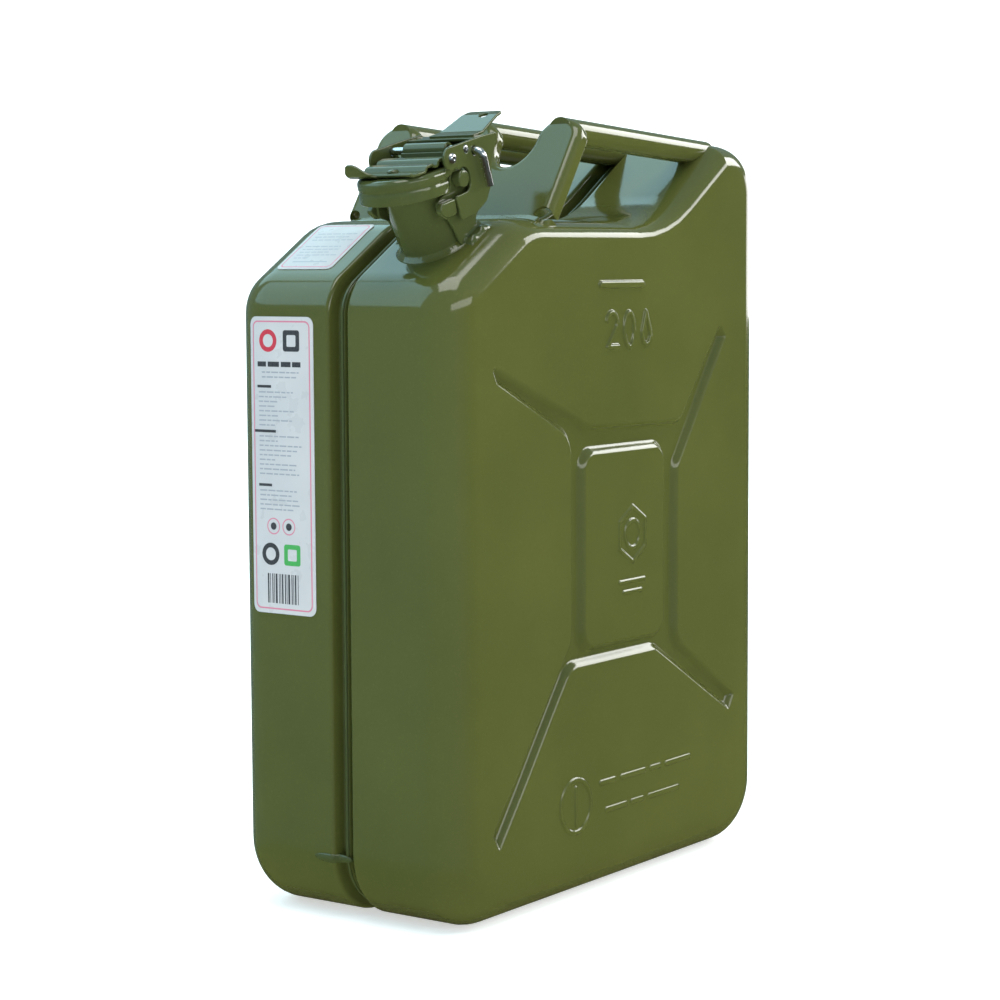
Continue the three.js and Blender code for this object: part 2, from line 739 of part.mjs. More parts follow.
function handleBracket() {
  const block = bracketBlock(0, -12, 0, BRACKET_FLANGE);
  const hollow = bracketBlock(BRACKET_T, -40, BRACKET_T, BRACKET_FLANGE + 20);
  const notches = [-1, 1].map((side) =>
    placed(
      new THREE.CylinderGeometry(5, 5, 60, 14),
      new THREE.Matrix4().makeRotationZ(Math.PI / 2),
      move(0, side * (BRACKET_HALF - 5), 3),
      ...bracketFrame,
    ),
  );
  const rods = [-BAR_SPACING, 0, BAR_SPACING].map((y) => barRod(y, GAP));
  return largest(cut(block, hollow, bodyClear, ...notches, ...rods));
}

function handleBar(y) {
  const beyond = boxBetween(BAR_REAR.x, 300, -100, 100, 300, 500);
  return largest(cut(barRod(y, 0), barRod(y, -BAR_WALL), bodyClear, beyond));
}

// ---- Labels, following the skin of the front face and of the shoulder ----
const labelSkin = cut(bodyBlock(0.65), bodyBlock(GAP));

function roundedRectangle(x0, x1, z0, z1, r) {
  return filleted(
    [
      { x: x0, z: z0, r },
      { x: x1, z: z0, r },
      { x: x1, z: z1, r },
      { x: x0, z: z1, r },
    ],
    [0, 0, 0, 0],
  );
}

function labelPrism(y0, y1, z0, z1, placing) {
  const shape = shapeOf(roundedRectangle(y0, y1, z0, z1, 5));
  const geometry = new THREE.ExtrudeGeometry(shape, { depth: 30, bevelEnabled: false });
  return placed(geometry, standing, ...placing);
}

function labelFront() {
  const prism = labelPrism(17.5, 66, 179, 353, [move(-LENGTH / 2 - 10, 0, 0)]);
  return labelSkin.intersect(prism);
}

function labelShoulder() {
  const prism = labelPrism(19, 61, 21, 72, [
    move(-15, 0, 0),
    turnY(Math.PI / 2 - SHOULDER_ANGLE),
    move(-LENGTH / 2, 0, SHOULDER),
  ]);
  return labelSkin.intersect(prism);
}

// ---- Assembly ----
const shellNear = halfShell();
addMesh(can, "body_half_near", cut(shellNear, neckHole), enamel);
addMesh(can, "body_half_far", mirrored(shellNear), enamel);
addMesh(can, "seam_weld", seamWeld(), enamel);
addMesh(can, "filler_neck", neck(), darkEnamel);
addMesh(can, "neck_weld_front", neckWeld(true), darkEnamel);
addMesh(can, "neck_weld_rear", neckWeld(false), darkEnamel);
addMesh(can, "breather_pipe", breatherPipe(), darkEnamel);
addMesh(can, "hinge_ear_near", earInPlace(-1), darkEnamel);
addMesh(can, "hinge_ear_far", earInPlace(1), darkEnamel);
addMesh(can, "latch_stud_near", stud(-1), darkEnamel);
addMesh(can, "latch_stud_far", stud(1), darkEnamel);
addMesh(can, "neck_lug_near", neckLug(-1), enamel);
addMesh(can, "neck_lug_far", neckLug(1), enamel);
addMesh(can, "hinge_pin", hingePin(), zinc);
addMesh(can, "handle_bracket", handleBracket(), enamel);
addMesh(can, "handle_bar_near", handleBar(-BAR_SPACING), enamel);
addMesh(can, "handle_bar_middle", handleBar(0), enamel);
addMesh(can, "handle_bar_far", handleBar(BAR_SPACING), enamel);
addMesh(can, "label_front", labelFront(), paper);
addMesh(can, "label_shoulder", labelShoulder(), paper);

const lidGroup = new THREE.Group();
addMesh(lidGroup, "cap", cap(), darkEnamel);
addMesh(lidGroup, "cap_gasket", gasket(), rubber);
addMesh(lidGroup, "cap_strap", capStrap(), enamel);
addMesh(lidGroup, "strap_rivet", strapRivet(), enamel);
addMesh(lidGroup, "lever_pivot_pin", leverPivotPin(), zinc);
can.add(lidGroup);

const leverGroup = new THREE.Group();
addMesh(leverGroup, "latch_lever", lever(), enamel);
addMesh(leverGroup, "lever_rivet_near", leverRivet(-1), zinc);
addMesh(leverGroup, "lever_rivet_far", leverRivet(1), zinc);
addMesh(leverGroup, "locking_pin", lockingPin(), zinc);
can.add(leverGroup);

export default can;
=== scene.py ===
import math
from math import cos, pi, radians, sin

import bmesh
import bpy
import numpy as np
from mathutils import Matrix, Vector
from mathutils.bvhtree import BVHTree
from mathutils.geometry import delaunay_2d_cdt, tessellate_polygon


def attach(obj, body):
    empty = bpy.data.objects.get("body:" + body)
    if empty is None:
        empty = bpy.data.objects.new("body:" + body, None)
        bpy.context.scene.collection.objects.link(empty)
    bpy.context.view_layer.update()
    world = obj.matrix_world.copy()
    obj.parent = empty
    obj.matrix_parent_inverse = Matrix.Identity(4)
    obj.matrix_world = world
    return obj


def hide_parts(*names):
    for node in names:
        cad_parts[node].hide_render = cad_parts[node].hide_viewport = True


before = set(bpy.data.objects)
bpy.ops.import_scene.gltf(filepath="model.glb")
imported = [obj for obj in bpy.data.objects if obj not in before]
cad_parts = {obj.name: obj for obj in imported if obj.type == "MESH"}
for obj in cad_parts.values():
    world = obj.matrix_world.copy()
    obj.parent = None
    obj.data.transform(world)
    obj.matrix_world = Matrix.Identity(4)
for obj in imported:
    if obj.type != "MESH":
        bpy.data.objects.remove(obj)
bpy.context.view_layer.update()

MM = 0.001
TAU = 2 * pi
WELD_WITHIN = 1e-6  # points of a piece this close, in metres, are one point
TINY, FAR_AWAY = 1e-12, 1e18
SIDES = ((-1, "near"), (1, "far"))
SHIFT = 7.4  # the body's middle lies this far behind the row's origin

# ---- sizes, mm
LENGTH, HALF_WIDTH = 345.0, 82.5
HUMP_TOP, VALLEY, SHOULDER, TOP = 459.0, 409.0, 369.0, 471.0
SHEET = 1.2
EDGE_DEPTH = 25.0
SEAM_HALF, SEAM_DEPTH = 6.5, 9.0
# corner x, z, fillet radius, rounding of the edge that follows towards the broad side
BODY = [
    (-172.5, 0, 42, 25),
    (172.5, 0, 42, 27),
    (172.5, HUMP_TOP, 36, 16),
    (126, HUMP_TOP, 9, 12),
    (50, VALLEY, 95, 12),
    (-108, VALLEY, 45, 20),
    (-172.5, SHOULDER, 30, 25),
]
PRESS_DEPTH, PRESS_WALL = 4.2, 6.0
CROSS = [
    (-138, 328, 3), (-33, 287, 14), (67, 286, 12), (116, 345, 3), (125, 336, 3), (66, 255, 12),
    (65, 146, 14), (137, 101, 3), (129, 89, 3), (38, 141, 12), (-55, 141, 14), (-130, 43, 3),
    (-138, 56, 3), (-57, 158, 12), (-57, 279, 14), (-131, 314, 3),
]
PANEL = [(-40, 154, 9), (47, 154, 9), (47, 268, 9), (-40, 268, 9)]
NECK_Y, NECK_X, NECK_Z = -38.5, -129.3, 392.7
NECK_LEAN, NECK_R, NECK_WALL = radians(28), 20.0, 1.8
STUD_X, STUD_Z, TILT = -138.8, 430.9, radians(14)
HINGE_UV, PIVOT_UV, RIVET_UV, LOCK_UV = (17.5, -10.5), (6.5, 15.5), (-8.1, 12.9), (14.0, 13.0)
EAR_IN, EAR_OUT = 20.4, 22.2
LID_IN, LID_OUT = 23.4, 25.0
LEVER_IN, LEVER_OUT = 25.4, 27.2
LID_TOP, LID_SKIRT, MOUTH = 8.5, -5.5, 3.5
LID_FRONT, LID_REAR = -47.0, 13.0
STRAP_V, STRAP_T = 8.8, 1.6
FOOT_X, LEAN = -71.6, radians(33.5)
LOBE_R, BRACKET_HALF, BAR_SPACING, BAR_R = 15.0, 76.5, 60.0, 8.0


# ---- geometry helpers
def eased(steps):
    """A quarter turn as pairs (1 - sin, 1 - cos) that run from (1, 0) to (0, 1)."""
    return [(1 - sin(pi / 2 * k / steps), 1 - cos(pi / 2 * k / steps)) for k in range(steps + 1)]


def fillet_arc(start, d, side, radius, half, pitch):
    """Arc that leaves start along d and turns by 2 * half to one side, with a point every pitch degrees."""
    centre = start + side * radius * np.array([-d[1], d[0]])
    x, y = start - centre
    steps = max(2, round(2 * half / radians(pitch)))
    turns = [side * 2 * half * k / steps for k in range(steps + 1)]
    return [centre + np.array([x * cos(t) - y * sin(t), x * sin(t) + y * cos(t)]) for t in turns]


def filleted(corners, insets, run=25.0):
    """Closed outline with rounded corners; insets moves each edge inwards, with the same point count."""
    n = len(corners)
    pts = np.array([c[:2] for c in corners], float)
    base = np.roll(pts, -1, 0) - pts
    length = np.hypot(base[:, 0], base[:, 1])
    d = base / length[:, None]
    inward = np.stack([-d[:, 1], d[:, 0]], 1)
    if np.sum(pts[:, 0] * np.roll(pts[:, 1], -1) - pts[:, 1] * np.roll(pts[:, 0], -1)) < 0:
        inward = -inward
    insets = np.broadcast_to(np.asarray(insets, float), (n,))
    point = pts + inward * insets[:, None]
    arcs = []
    for i in range(n):
        a, b = (i - 1) % n, i
        cross = d[a, 0] * d[b, 1] - d[a, 1] * d[b, 0]
        gap = point[b] - point[a]
        corner = point[a] + d[a] * ((gap[0] * d[b, 1] - gap[1] * d[b, 0]) / cross)
        convex = np.dot(inward[a], d[b]) > 0
        inset = (insets[a] + insets[b]) / 2
        radius = max(0.4, corners[i][2] - inset * (1 if convex else -1))
        half = math.acos(max(-1.0, min(1.0, float(np.dot(d[a], d[b]))))) / 2
        tangent = radius * math.tan(half)
        side = 1.0 if cross > 0 else -1.0
        arcs.append(fillet_arc(corner - d[a] * tangent, d[a], side, radius, half, 7.5))
    out = []
    for i in range(n):
        out += arcs[i]
        a, b = arcs[i][-1], arcs[(i + 1) % n][0]
        gap = float(np.hypot(*(b - a)))
        extra = int(length[i] / run)
        if extra:
            near = min(1.5 / max(gap, 1e-6), 0.2)
            for t in [near] + [near + (1 - 2 * near) * k / (extra + 1)
                               for k in range(1, extra + 1)] + [1 - near]:
                out.append(a + (b - a) * t)
    return np.array(out)


def squared_distance(p, a, b):
    """Squared distance of each point to the straight line from a to b."""
    e = b - a
    t = np.clip(((p - a) @ e) / max(float(e @ e), TINY), 0, 1)
    q = a + t[:, None] * e - p
    return (q * q).sum(1)


def signed_distance(p, outline):
    """Distance of each point to a closed outline, negative inside."""
    best = np.full(len(p), FAR_AWAY)
    inside = np.zeros(len(p), bool)
    for a, b in zip(outline, np.roll(outline, -1, 0)):
        best = np.minimum(best, squared_distance(p, a, b))
        crosses = (a[1] > p[:, 1]) != (b[1] > p[:, 1])
        if crosses.any():
            at = (b[0] - a[0]) * (p[:, 1] - a[1]) / (b[1] - a[1] if b[1] != a[1] else TINY) + a[0]
            inside ^= crosses & (p[:, 0] < at)
    d = np.sqrt(best)
    return np.where(inside, -d, d)


def stroke_distance(p, lines):
    """Distance of each point to the nearest of some open lines."""
    best = np.full(len(p), FAR_AWAY)
    for line in lines:
        for a, b in zip(line, line[1:]):
            best = np.minimum(best, squared_distance(p, np.array(a, float), np.array(b, float)))
    return np.sqrt(best)


def smooth(t):
    t = np.clip(t, 0, 1)
    return t * t * (3 - 2 * t)


def arc(cx, cy, r, a0, a1, steps, ry=None):
    """Points of an arc from a0 to a1 degrees, upright-oval if ry is given."""
    angles = [radians(a0 + (a1 - a0) * k / steps) for k in range(steps + 1)]
    return [(cx + r * cos(a), cy + (ry or r) * sin(a)) for a in angles]


def circle(cx, cy, r, steps, ry=None):
    return arc(cx, cy, r, 0, 360, steps, ry)[:-1]


def new_object(name, verts, faces, closed=False):
    """Links an object of these points and faces. A closed one is welded and faces outwards."""
    mesh = bpy.data.meshes.new(name)
    mesh.from_pydata(verts, [], faces)
    if closed:
        bm = bmesh.new()
        bm.from_mesh(mesh)
        bmesh.ops.remove_doubles(bm, verts=bm.verts, dist=WELD_WITHIN)
        bmesh.ops.recalc_face_normals(bm, faces=bm.faces)
        bm.to_mesh(mesh)
        bm.free()
    piece = bpy.data.objects.new(name, mesh)
    bpy.context.scene.collection.objects.link(piece)
    return piece


def smooth_shaded(mesh):
    mesh.polygons.foreach_set("use_smooth", [True] * len(mesh.polygons))


def make(name, verts, faces, material, body, nodes=(), slot="enamel", weighted=True, angle=50):
    """A visible piece from millimetre points, riding on a body and standing for CAD nodes."""
    piece = new_object(name, [[float(c) * MM for c in v] for v in verts],
                       [[int(i) for i in f] for f in faces], True)
    piece.data.materials.append(material)
    smooth_shaded(piece.data)
    piece.data.set_sharp_from_angle(angle=radians(angle))
    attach(piece, body)
    if nodes:
        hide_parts(*nodes)
    if weighted:
        weigh_normals(piece, 80)
    return piece


def weigh_normals(piece, weight=50):
    wn = piece.modifiers.new("weighted", "WEIGHTED_NORMAL")
    wn.keep_sharp = True
    wn.weight = weight


def apply_modifiers(piece):
    bpy.context.view_layer.update()
    graph = bpy.context.evaluated_depsgraph_get()
    mesh = bpy.data.meshes.new_from_object(piece.evaluated_get(graph))
    old = piece.data
    piece.modifiers.clear()
    piece.data = mesh
    bpy.data.meshes.remove(old)


def carve(piece, verts, faces):
    """Cuts a closed millimetre mesh out of a piece."""
    cutter = new_object("cutter", [[float(c) * MM for c in v] for v in verts], faces, True)
    mesh = cutter.data
    mod = piece.modifiers.new("carve", "BOOLEAN")
    mod.operation, mod.solver, mod.object = "DIFFERENCE", "EXACT", cutter
    apply_modifiers(piece)
    bpy.data.objects.remove(cutter)
    bpy.data.meshes.remove(mesh)


def bridge(low, high, n):
    """Faces between two closed rows of n points that start at index low and index high."""
    return [(low + i, low + (i + 1) % n, high + (i + 1) % n, high + i) for i in range(n)]


def bands(start, n, rows):
    """Faces between rows of n points each, the first row at index start."""
    return [f for row in range(rows - 1) for f in bridge(start + row * n, start + (row + 1) * n, n)]


def loft(loops, capped=True):
    """Points and faces through closed 3-D loops of equal length."""
    n, last = len(loops[0]), (len(loops) - 1) * len(loops[0])
    faces = bands(0, n, len(loops))
    if capped:
        faces += [tuple(range(n - 1, -1, -1)), tuple(range(last, last + n))]
    return [p for loop in loops for p in loop], faces


def rim_profile(thickness, rim):
    """Inset and height pairs of a sheet's rounded edge."""
    low = [(abs(rim) * s, rim * c) for s, c in eased(3)]
    return low + [(i, thickness - h) for i, h in reversed(low)]


def sliced(verts, faces, cuts, cross_cuts=()):
    """Cuts a flat-drawn mesh at each a in cuts and each b in cross_cuts, so that it can be bent."""
    mesh = bpy.data.meshes.new("flat")
    mesh.from_pydata(verts, [], faces)
    bm = bmesh.new()
    bm.from_mesh(mesh)
    for normal, places in (((1, 0, 0), cuts), ((0, 1, 0), cross_cuts)):
        for at in places:
            bmesh.ops.bisect_plane(bm, geom=bm.verts[:] + bm.edges[:] + bm.faces[:],
                                   plane_co=Vector(normal) * at,
                                   plane_no=normal)
    bm.verts.index_update()
    verts = [tuple(v.co) for v in bm.verts]
    faces = [tuple(v.index for v in f.verts) for f in bm.faces]
    bm.free()
    bpy.data.meshes.remove(mesh)
    return verts, faces


def plate(corners, holes, thickness, rim, place, cuts=(), cross_cuts=()):
    """A sheet with rounded edges. Corners and holes are (a, b, radius); place maps (a, b, n) to a point."""
    profile = rim_profile(thickness, rim)
    verts, faces = [], []

    def ring(loops):
        start, n = len(verts), len(loops[0])
        for loop, (_, h) in zip(loops, profile):
            verts.extend((p[0], p[1], h) for p in loop)
        faces.extend(bands(start, n, len(loops)))
        return start, n

    rings = [ring([filleted(corners, inset) for inset, _ in profile])]
    rings += [ring([circle(a, b, r + inset, 28) for inset, _ in profile]) for a, b, r in holes]
    for row in (0, len(profile) - 1):
        ids, polys = [], []
        for start, n in rings:
            idx = list(range(start + row * n, start + (row + 1) * n))
            ids += idx
            polys.append([Vector((verts[i][0], verts[i][1], 0)) for i in idx])
        faces += [tuple(ids[k] for k in tri) for tri in tessellate_polygon(polys)]
    if cuts or cross_cuts:
        verts, faces = sliced(verts, faces, cuts, cross_cuts)
    return [place(*v) for v in verts], faces


def bend_path(points, radii):
    """Arc-length table of a bent centre line: rounded polyline -> function s -> (point, normal)."""
    corners = [np.array(p, float) for p in points]
    line = [corners[0]]
    for i in range(1, len(corners) - 1):
        a, c, b = corners[i - 1], corners[i], corners[i + 1]
        d0, d1 = (c - a) / np.linalg.norm(c - a), (b - c) / np.linalg.norm(b - c)
        half = math.acos(max(-1, min(1, float(d0 @ d1)))) / 2
        r = radii[i - 1]
        if half < 1e-4:
            line.append(c)
            continue
        t = r * math.tan(half)
        side = 1.0 if d0[0] * d1[1] - d0[1] * d1[0] > 0 else -1.0
        line += fillet_arc(c - d0 * t, d0, side, r, half, 9)
    line.append(corners[-1])
    line = np.array(line)
    seg = np.hypot(*np.diff(line, axis=0).T)
    s = np.concatenate([[0], np.cumsum(seg)])

    def at(value):
        value = max(0.0, min(float(s[-1]), value))
        i = min(len(seg) - 1, int(np.searchsorted(s, value, side="right")) - 1)
        t = (value - s[i]) / max(seg[i], 1e-9)
        d = (line[i + 1] - line[i]) / max(seg[i], 1e-9)
        normal = np.array([-d[1], d[0]])
        # the normal turns evenly inside a bend
        if t < 0.5 and i > 0:
            e = (line[i] - line[i - 1]) / max(seg[i - 1], 1e-9)
            normal = normal * (0.5 + t) + np.array([-e[1], e[0]]) * (0.5 - t)
        elif t > 0.5 and i + 1 < len(seg):
            e = (line[i + 2] - line[i + 1]) / max(seg[i + 1], 1e-9)
            normal = normal * (1.5 - t) + np.array([-e[1], e[0]]) * (t - 0.5)
        return line[i] + d * t * seg[i], normal / np.linalg.norm(normal)

    return at, [float(v) for v in s]


def closure(u, y, v):
    """Point of the closure's frame: u along the lid to the rear, v square to it, y from the neck's middle."""
    return (STUD_X + SHIFT + u * cos(TILT) - v * sin(TILT), NECK_Y + y,
            STUD_Z + u * sin(TILT) + v * cos(TILT))


def lathe(profile, steps, place):
    """Closed solid of revolution: profile (r, h) from axis to axis or as a closed ring."""
    n, faces = len(profile), []
    angles = [TAU * k / steps for k in range(steps)]
    verts = [place(r * cos(a), r * sin(a), h) for a in angles for r, h in profile]
    closed = profile[0][0] > 0
    for k in range(steps):
        m = (k + 1) % steps
        for i in range(n if closed else n - 1):
            j = (i + 1) % n
            faces.append((k * n + i, m * n + i, m * n + j, k * n + j))
    return verts, [tuple(dict.fromkeys(f)) for f in faces]


def along_y(u, v):
    """Lathe placing for a rod across the closure at (u, v)."""
    return lambda a, b, h: closure(u + a, h, v + b)


def tube(path, radius, sides):
    """Round wire or pipe along a list of points."""
    path = [Vector(p) for p in path]
    loops = []
    tangent = (path[1] - path[0]).normalized()
    normal = tangent.orthogonal().normalized()
    for i, p in enumerate(path):
        t = (path[min(i + 1, len(path) - 1)] - path[max(i - 1, 0)]).normalized()
        normal = (normal - t * normal.dot(t)).normalized()
        binormal = t.cross(normal)
        r = radius(i / (len(path) - 1)) if callable(radius) else radius
        loops.append([p + normal * a + binormal * b for a, b in circle(0, 0, r, sides)])
    return loft(loops)


# ---- materials
def material(name, base, roughness, metallic=0.0):
    m = bpy.data.materials.new(name)
    m.use_nodes = True
    shader = m.node_tree.nodes["Principled BSDF"]
    shader.inputs["Base Color"].default_value = (*base, 1)
    shader.inputs["Roughness"].default_value = roughness
    shader.inputs["Metallic"].default_value = metallic
    return m, m.node_tree, shader


def feed(shader, name, source):
    """Drives one of the shader's inputs from another node's output."""
    shader.id_data.links.new(source, shader.inputs[name])


def noise(tree, scale, detail=3.0, stretch=None, rough=0.5):
    coord = tree.nodes.new("ShaderNodeTexCoord")
    node = tree.nodes.new("ShaderNodeTexNoise")
    node.inputs["Scale"].default_value = scale
    node.inputs["Detail"].default_value = detail
    node.inputs["Roughness"].default_value = rough
    source = coord.outputs["Object"]
    if stretch:
        mapping = tree.nodes.new("ShaderNodeMapping")
        mapping.inputs["Scale"].default_value = stretch
        tree.links.new(source, mapping.inputs["Vector"])
        source = mapping.outputs["Vector"]
    tree.links.new(source, node.inputs["Vector"])
    return node.outputs["Fac"]


def ranged(tree, value, low, high, from_low=0.3, from_high=0.7):
    node = tree.nodes.new("ShaderNodeMapRange")
    node.inputs["From Min"].default_value = from_low
    node.inputs["From Max"].default_value = from_high
    node.inputs["To Min"].default_value = low
    node.inputs["To Max"].default_value = high
    tree.links.new(value, node.inputs["Value"])
    return node.outputs["Result"]


def blend_colour(tree, factor, a, b):
    node = tree.nodes.new("ShaderNodeMix")
    node.data_type = "RGBA"
    for socket, value in ((node.inputs[6], a), (node.inputs[7], b)):
        if isinstance(value, tuple):
            socket.default_value = (*value, 1)
        else:
            tree.links.new(value, socket)
    tree.links.new(factor, node.inputs[0])
    return node.outputs[2]


def bumped(tree, shader, layers):
    """Stacks bump layers: (height, strength, distance in metres)."""
    last = None
    for height, strength, distance in layers:
        node = tree.nodes.new("ShaderNodeBump")
        node.inputs["Strength"].default_value = strength
        node.inputs["Distance"].default_value = distance
        tree.links.new(height, node.inputs["Height"])
        if last:
            tree.links.new(last, node.inputs["Normal"])
        last = node.outputs["Normal"]
    feed(shader, "Normal", last)


def enamel_material(name, light, dark, wave=0.0):
    """Stoved gloss enamel: slight colour drift, orange peel, fine dust in the gloss."""
    m, tree, shader = material(name, light, 0.2)
    drift = ranged(tree, noise(tree, 9, 3), 0.0, 1.0, 0.35, 0.65)
    colour = blend_colour(tree, drift, dark, light)
    speck = ranged(tree, noise(tree, 700, 2), 0.0, 0.25, 0.55, 0.8)
    colour = blend_colour(tree, speck, colour, tuple(c * 1.5 for c in light))
    feed(shader, "Base Color", colour)
    feed(shader, "Roughness", ranged(tree, noise(tree, 30, 5, rough=0.7), 0.07, 0.14))
    shader.inputs["IOR"].default_value = 1.5
    layers = [(noise(tree, 340, 2), 0.02, 0.0012)]
    if wave:
        layers.insert(0, (noise(tree, 14, 1), wave, 0.004))
    bumped(tree, shader, layers)
    return m


def grained(name, base, roughness, metallic=0.0, tint=None, shine=None, grain=None):
    """An uneven material: tint (noise, top, two colours), shine (noise, low, high), grain (noise, bump)."""
    m, tree, shader = material(name, base, roughness, metallic)
    if tint:
        where, top, *colours = tint
        feed(shader, "Base Color", blend_colour(tree, ranged(tree, noise(tree, *where), 0, top), *colours))
    if shine:
        feed(shader, "Roughness", ranged(tree, noise(tree, *shine[0]), *shine[1:]))
    if grain:
        bumped(tree, shader, [(noise(tree, *grain[0]), *grain[1:])])
    return m


def ink(name, colour):
    faded = tuple(c * 0.6 + 0.12 for c in colour)
    return grained("ink_" + name, colour, 0.38, tint=((900, 2), 0.35, colour, faded))


enamel = enamel_material("enamel_olive", (0.091, 0.099, 0.024), (0.079, 0.087, 0.021), wave=0.12)
enamel_small = enamel_material("enamel_olive_small", (0.07, 0.084, 0.026), (0.058, 0.07, 0.021))
zinc = grained("zinc_plate", (0.66, 0.67, 0.68), 0.24, 1.0,
               ((160, 3), 1, (0.6, 0.6, 0.61), (0.74, 0.73, 0.72)),
               ((400, 4, (1, 6, 1)), 0.17, 0.28), ((900, 2), 0.02, 0.0004))
tube_steel = grained("drawn_steel", (0.42, 0.4, 0.37), 0.4, 0.9, shine=((60, 5, (1, 12, 12)), 0.28, 0.55))
rubber = grained("fuel_rubber", (0.022, 0.022, 0.022), 0.7, shine=((500, 3), 0.55, 0.85),
                 grain=((1200, 2), 0.2, 0.0004))
film = grained("label_film", (0.63, 0.6, 0.6), 0.3, 0.0, ((25, 3), 1, (0.57, 0.55, 0.56), (0.63, 0.6, 0.6)),
               ((80, 3), 0.24, 0.4), ((120, 2), 0.05, 0.001))
ink_black, ink_red = ink("black", (0.03, 0.03, 0.035)), ink("red", (0.62, 0.02, 0.05))
ink_pink, ink_green = ink("pink", (0.72, 0.2, 0.3)), ink("green", (0.05, 0.42, 0.08))
ink_grey = ink("grey", (0.36, 0.37, 0.42))

# ---- body shells
FACE_LOOP_EXTRA = 2.5  # the flat of a broad side ends this far inside its rounded edge
WAVES, FADE = (0.35, 0.2), 26  # waviness of the drawn sheet, fading out towards the edge
STROKE_WALL = 1.5
GRID, COARSE, FINE = (-144, 144, 24, 452), 4, 2  # cells over the flat, mm; fine walls in half millimetres
face_loop = filleted(BODY, [c[3] + FACE_LOOP_EXTRA for c in BODY])
cross_outline, panel_outline = filleted(CROSS, 0, 400), filleted(PANEL, 0, 400)

LEVEL_BAR = [[(-24, 370), (22, 370)]]
NUMERALS = [
    arc(-12, 347, 5.6, 165, -25, 12, 6) + [(-16.5, 332.5), (-5, 332.5)],
    arc(7, 342.5, 5.2, 0, 360, 28, 10.4),
    [(26, 353), (23.6, 346.5), (21.6, 341), (21.4, 338), (22.6, 334.6), (26, 332.8), (29.4, 334.6),
     (30.6, 338),
     (30.4, 341), (28.4, 346.5), (26, 353)],
]
EMBLEM = [
    arc(11, 217, 17, 30, 390, 6),
    arc(11, 217, 8.5, 0, 360, 28),
    [(-3, 188), (25, 188)],
    [(1, 181.5), (21, 181.5)],
]
RING = [arc(-52, 58, 16, 0, 360, 48), [(-52, 47), (-52, 69)]]
CODE_BARS = [[(x, 67.5), (x + w, 67.5)] for x, w in ((-25, 15), (-2, 26), (32, 10), (50, 28))]
CODE_BARS += [[(x, 50), (x + w, 50)] for x, w in ((-19, 22), (10, 12), (30, 34))]
STROKES = [(LEVEL_BAR, 2.1, 1.6), (NUMERALS, 1.5, 1.2), (EMBLEM, 1.3, 0.8), (RING, 1.3, 0.8),
           (CODE_BARS, 1.7, 0.7)]


def face_depth(p, near):
    """How far the broad side lies below its flat plane at each (x, z)."""
    recess = smooth(-signed_distance(p, cross_outline) / PRESS_WALL)
    island = smooth(signed_distance(p, panel_outline) / PRESS_WALL)
    depth = PRESS_DEPTH * recess * island
    window = smooth(-signed_distance(p, face_loop) / FADE)
    x, z = p[:, 0], p[:, 1]
    broad = np.sin(x / 23 + 0.9 * np.sin(z / 51)) * np.sin(z / 31 + 1.3)
    depth += window * (WAVES[0] * broad + WAVES[1] * np.sin(x / 41 - z / 37))
    if near:
        for lines, half, rise in STROKES:
            d = stroke_distance(p, lines)
            depth -= rise * smooth((half + 0.7 - d) / STROKE_WALL)
    return depth


def feature_distance(p, near):
    """Distance of each point to the walls of the pressing and to the raised strokes."""
    s, q = signed_distance(p, cross_outline), signed_distance(p, panel_outline)
    wall = np.maximum(np.maximum(s - 0.5, -PRESS_WALL - 0.5 - s), 0)
    island = np.maximum(np.maximum(q - PRESS_WALL - 0.5, -0.5 - q), 0)
    wall = np.where(q < -1, 99, wall)
    stroke = np.full(len(p), 99.0)
    if near:
        for lines, half, _ in STROKES:
            stroke = np.minimum(stroke, np.maximum(stroke_distance(p, lines) - half - 1, 0))
    return np.minimum(wall, island), stroke


def face_cells(near):
    """Square cells over the flat of a broad side, fine where the sheet is worked, in half millimetres."""
    xs, zs = np.arange(*GRID[:2], COARSE), np.arange(*GRID[2:], COARSE)
    size = 2 * COARSE
    grid = np.array([(x * 2, z * 2) for x in xs for z in zs], int)
    corners = [(grid + np.array(o)) / 2.0 for o in ((0, 0), (size, 0), (0, size), (size, size))]
    keep = np.all([signed_distance(c, face_loop) < -1.0 for c in corners], axis=0)
    cells, leaves = grid[keep], []
    while size > 1:
        centre = (cells + size / 2) / 2.0
        wall, stroke = feature_distance(centre, near)
        reach = size / 2 * 0.72
        split = (wall < reach) if size > FINE else np.zeros(len(cells), bool)
        split |= stroke < reach
        leaves += [(int(x), int(z), size) for x, z in cells[~split]]
        half = size // 2
        cells = np.concatenate([cells[split] + np.array(o)
                                for o in ((0, 0), (half, 0), (0, half), (half, half))])
        size = half
    leaves += [(int(x), int(z), 1) for x, z in cells]
    return leaves


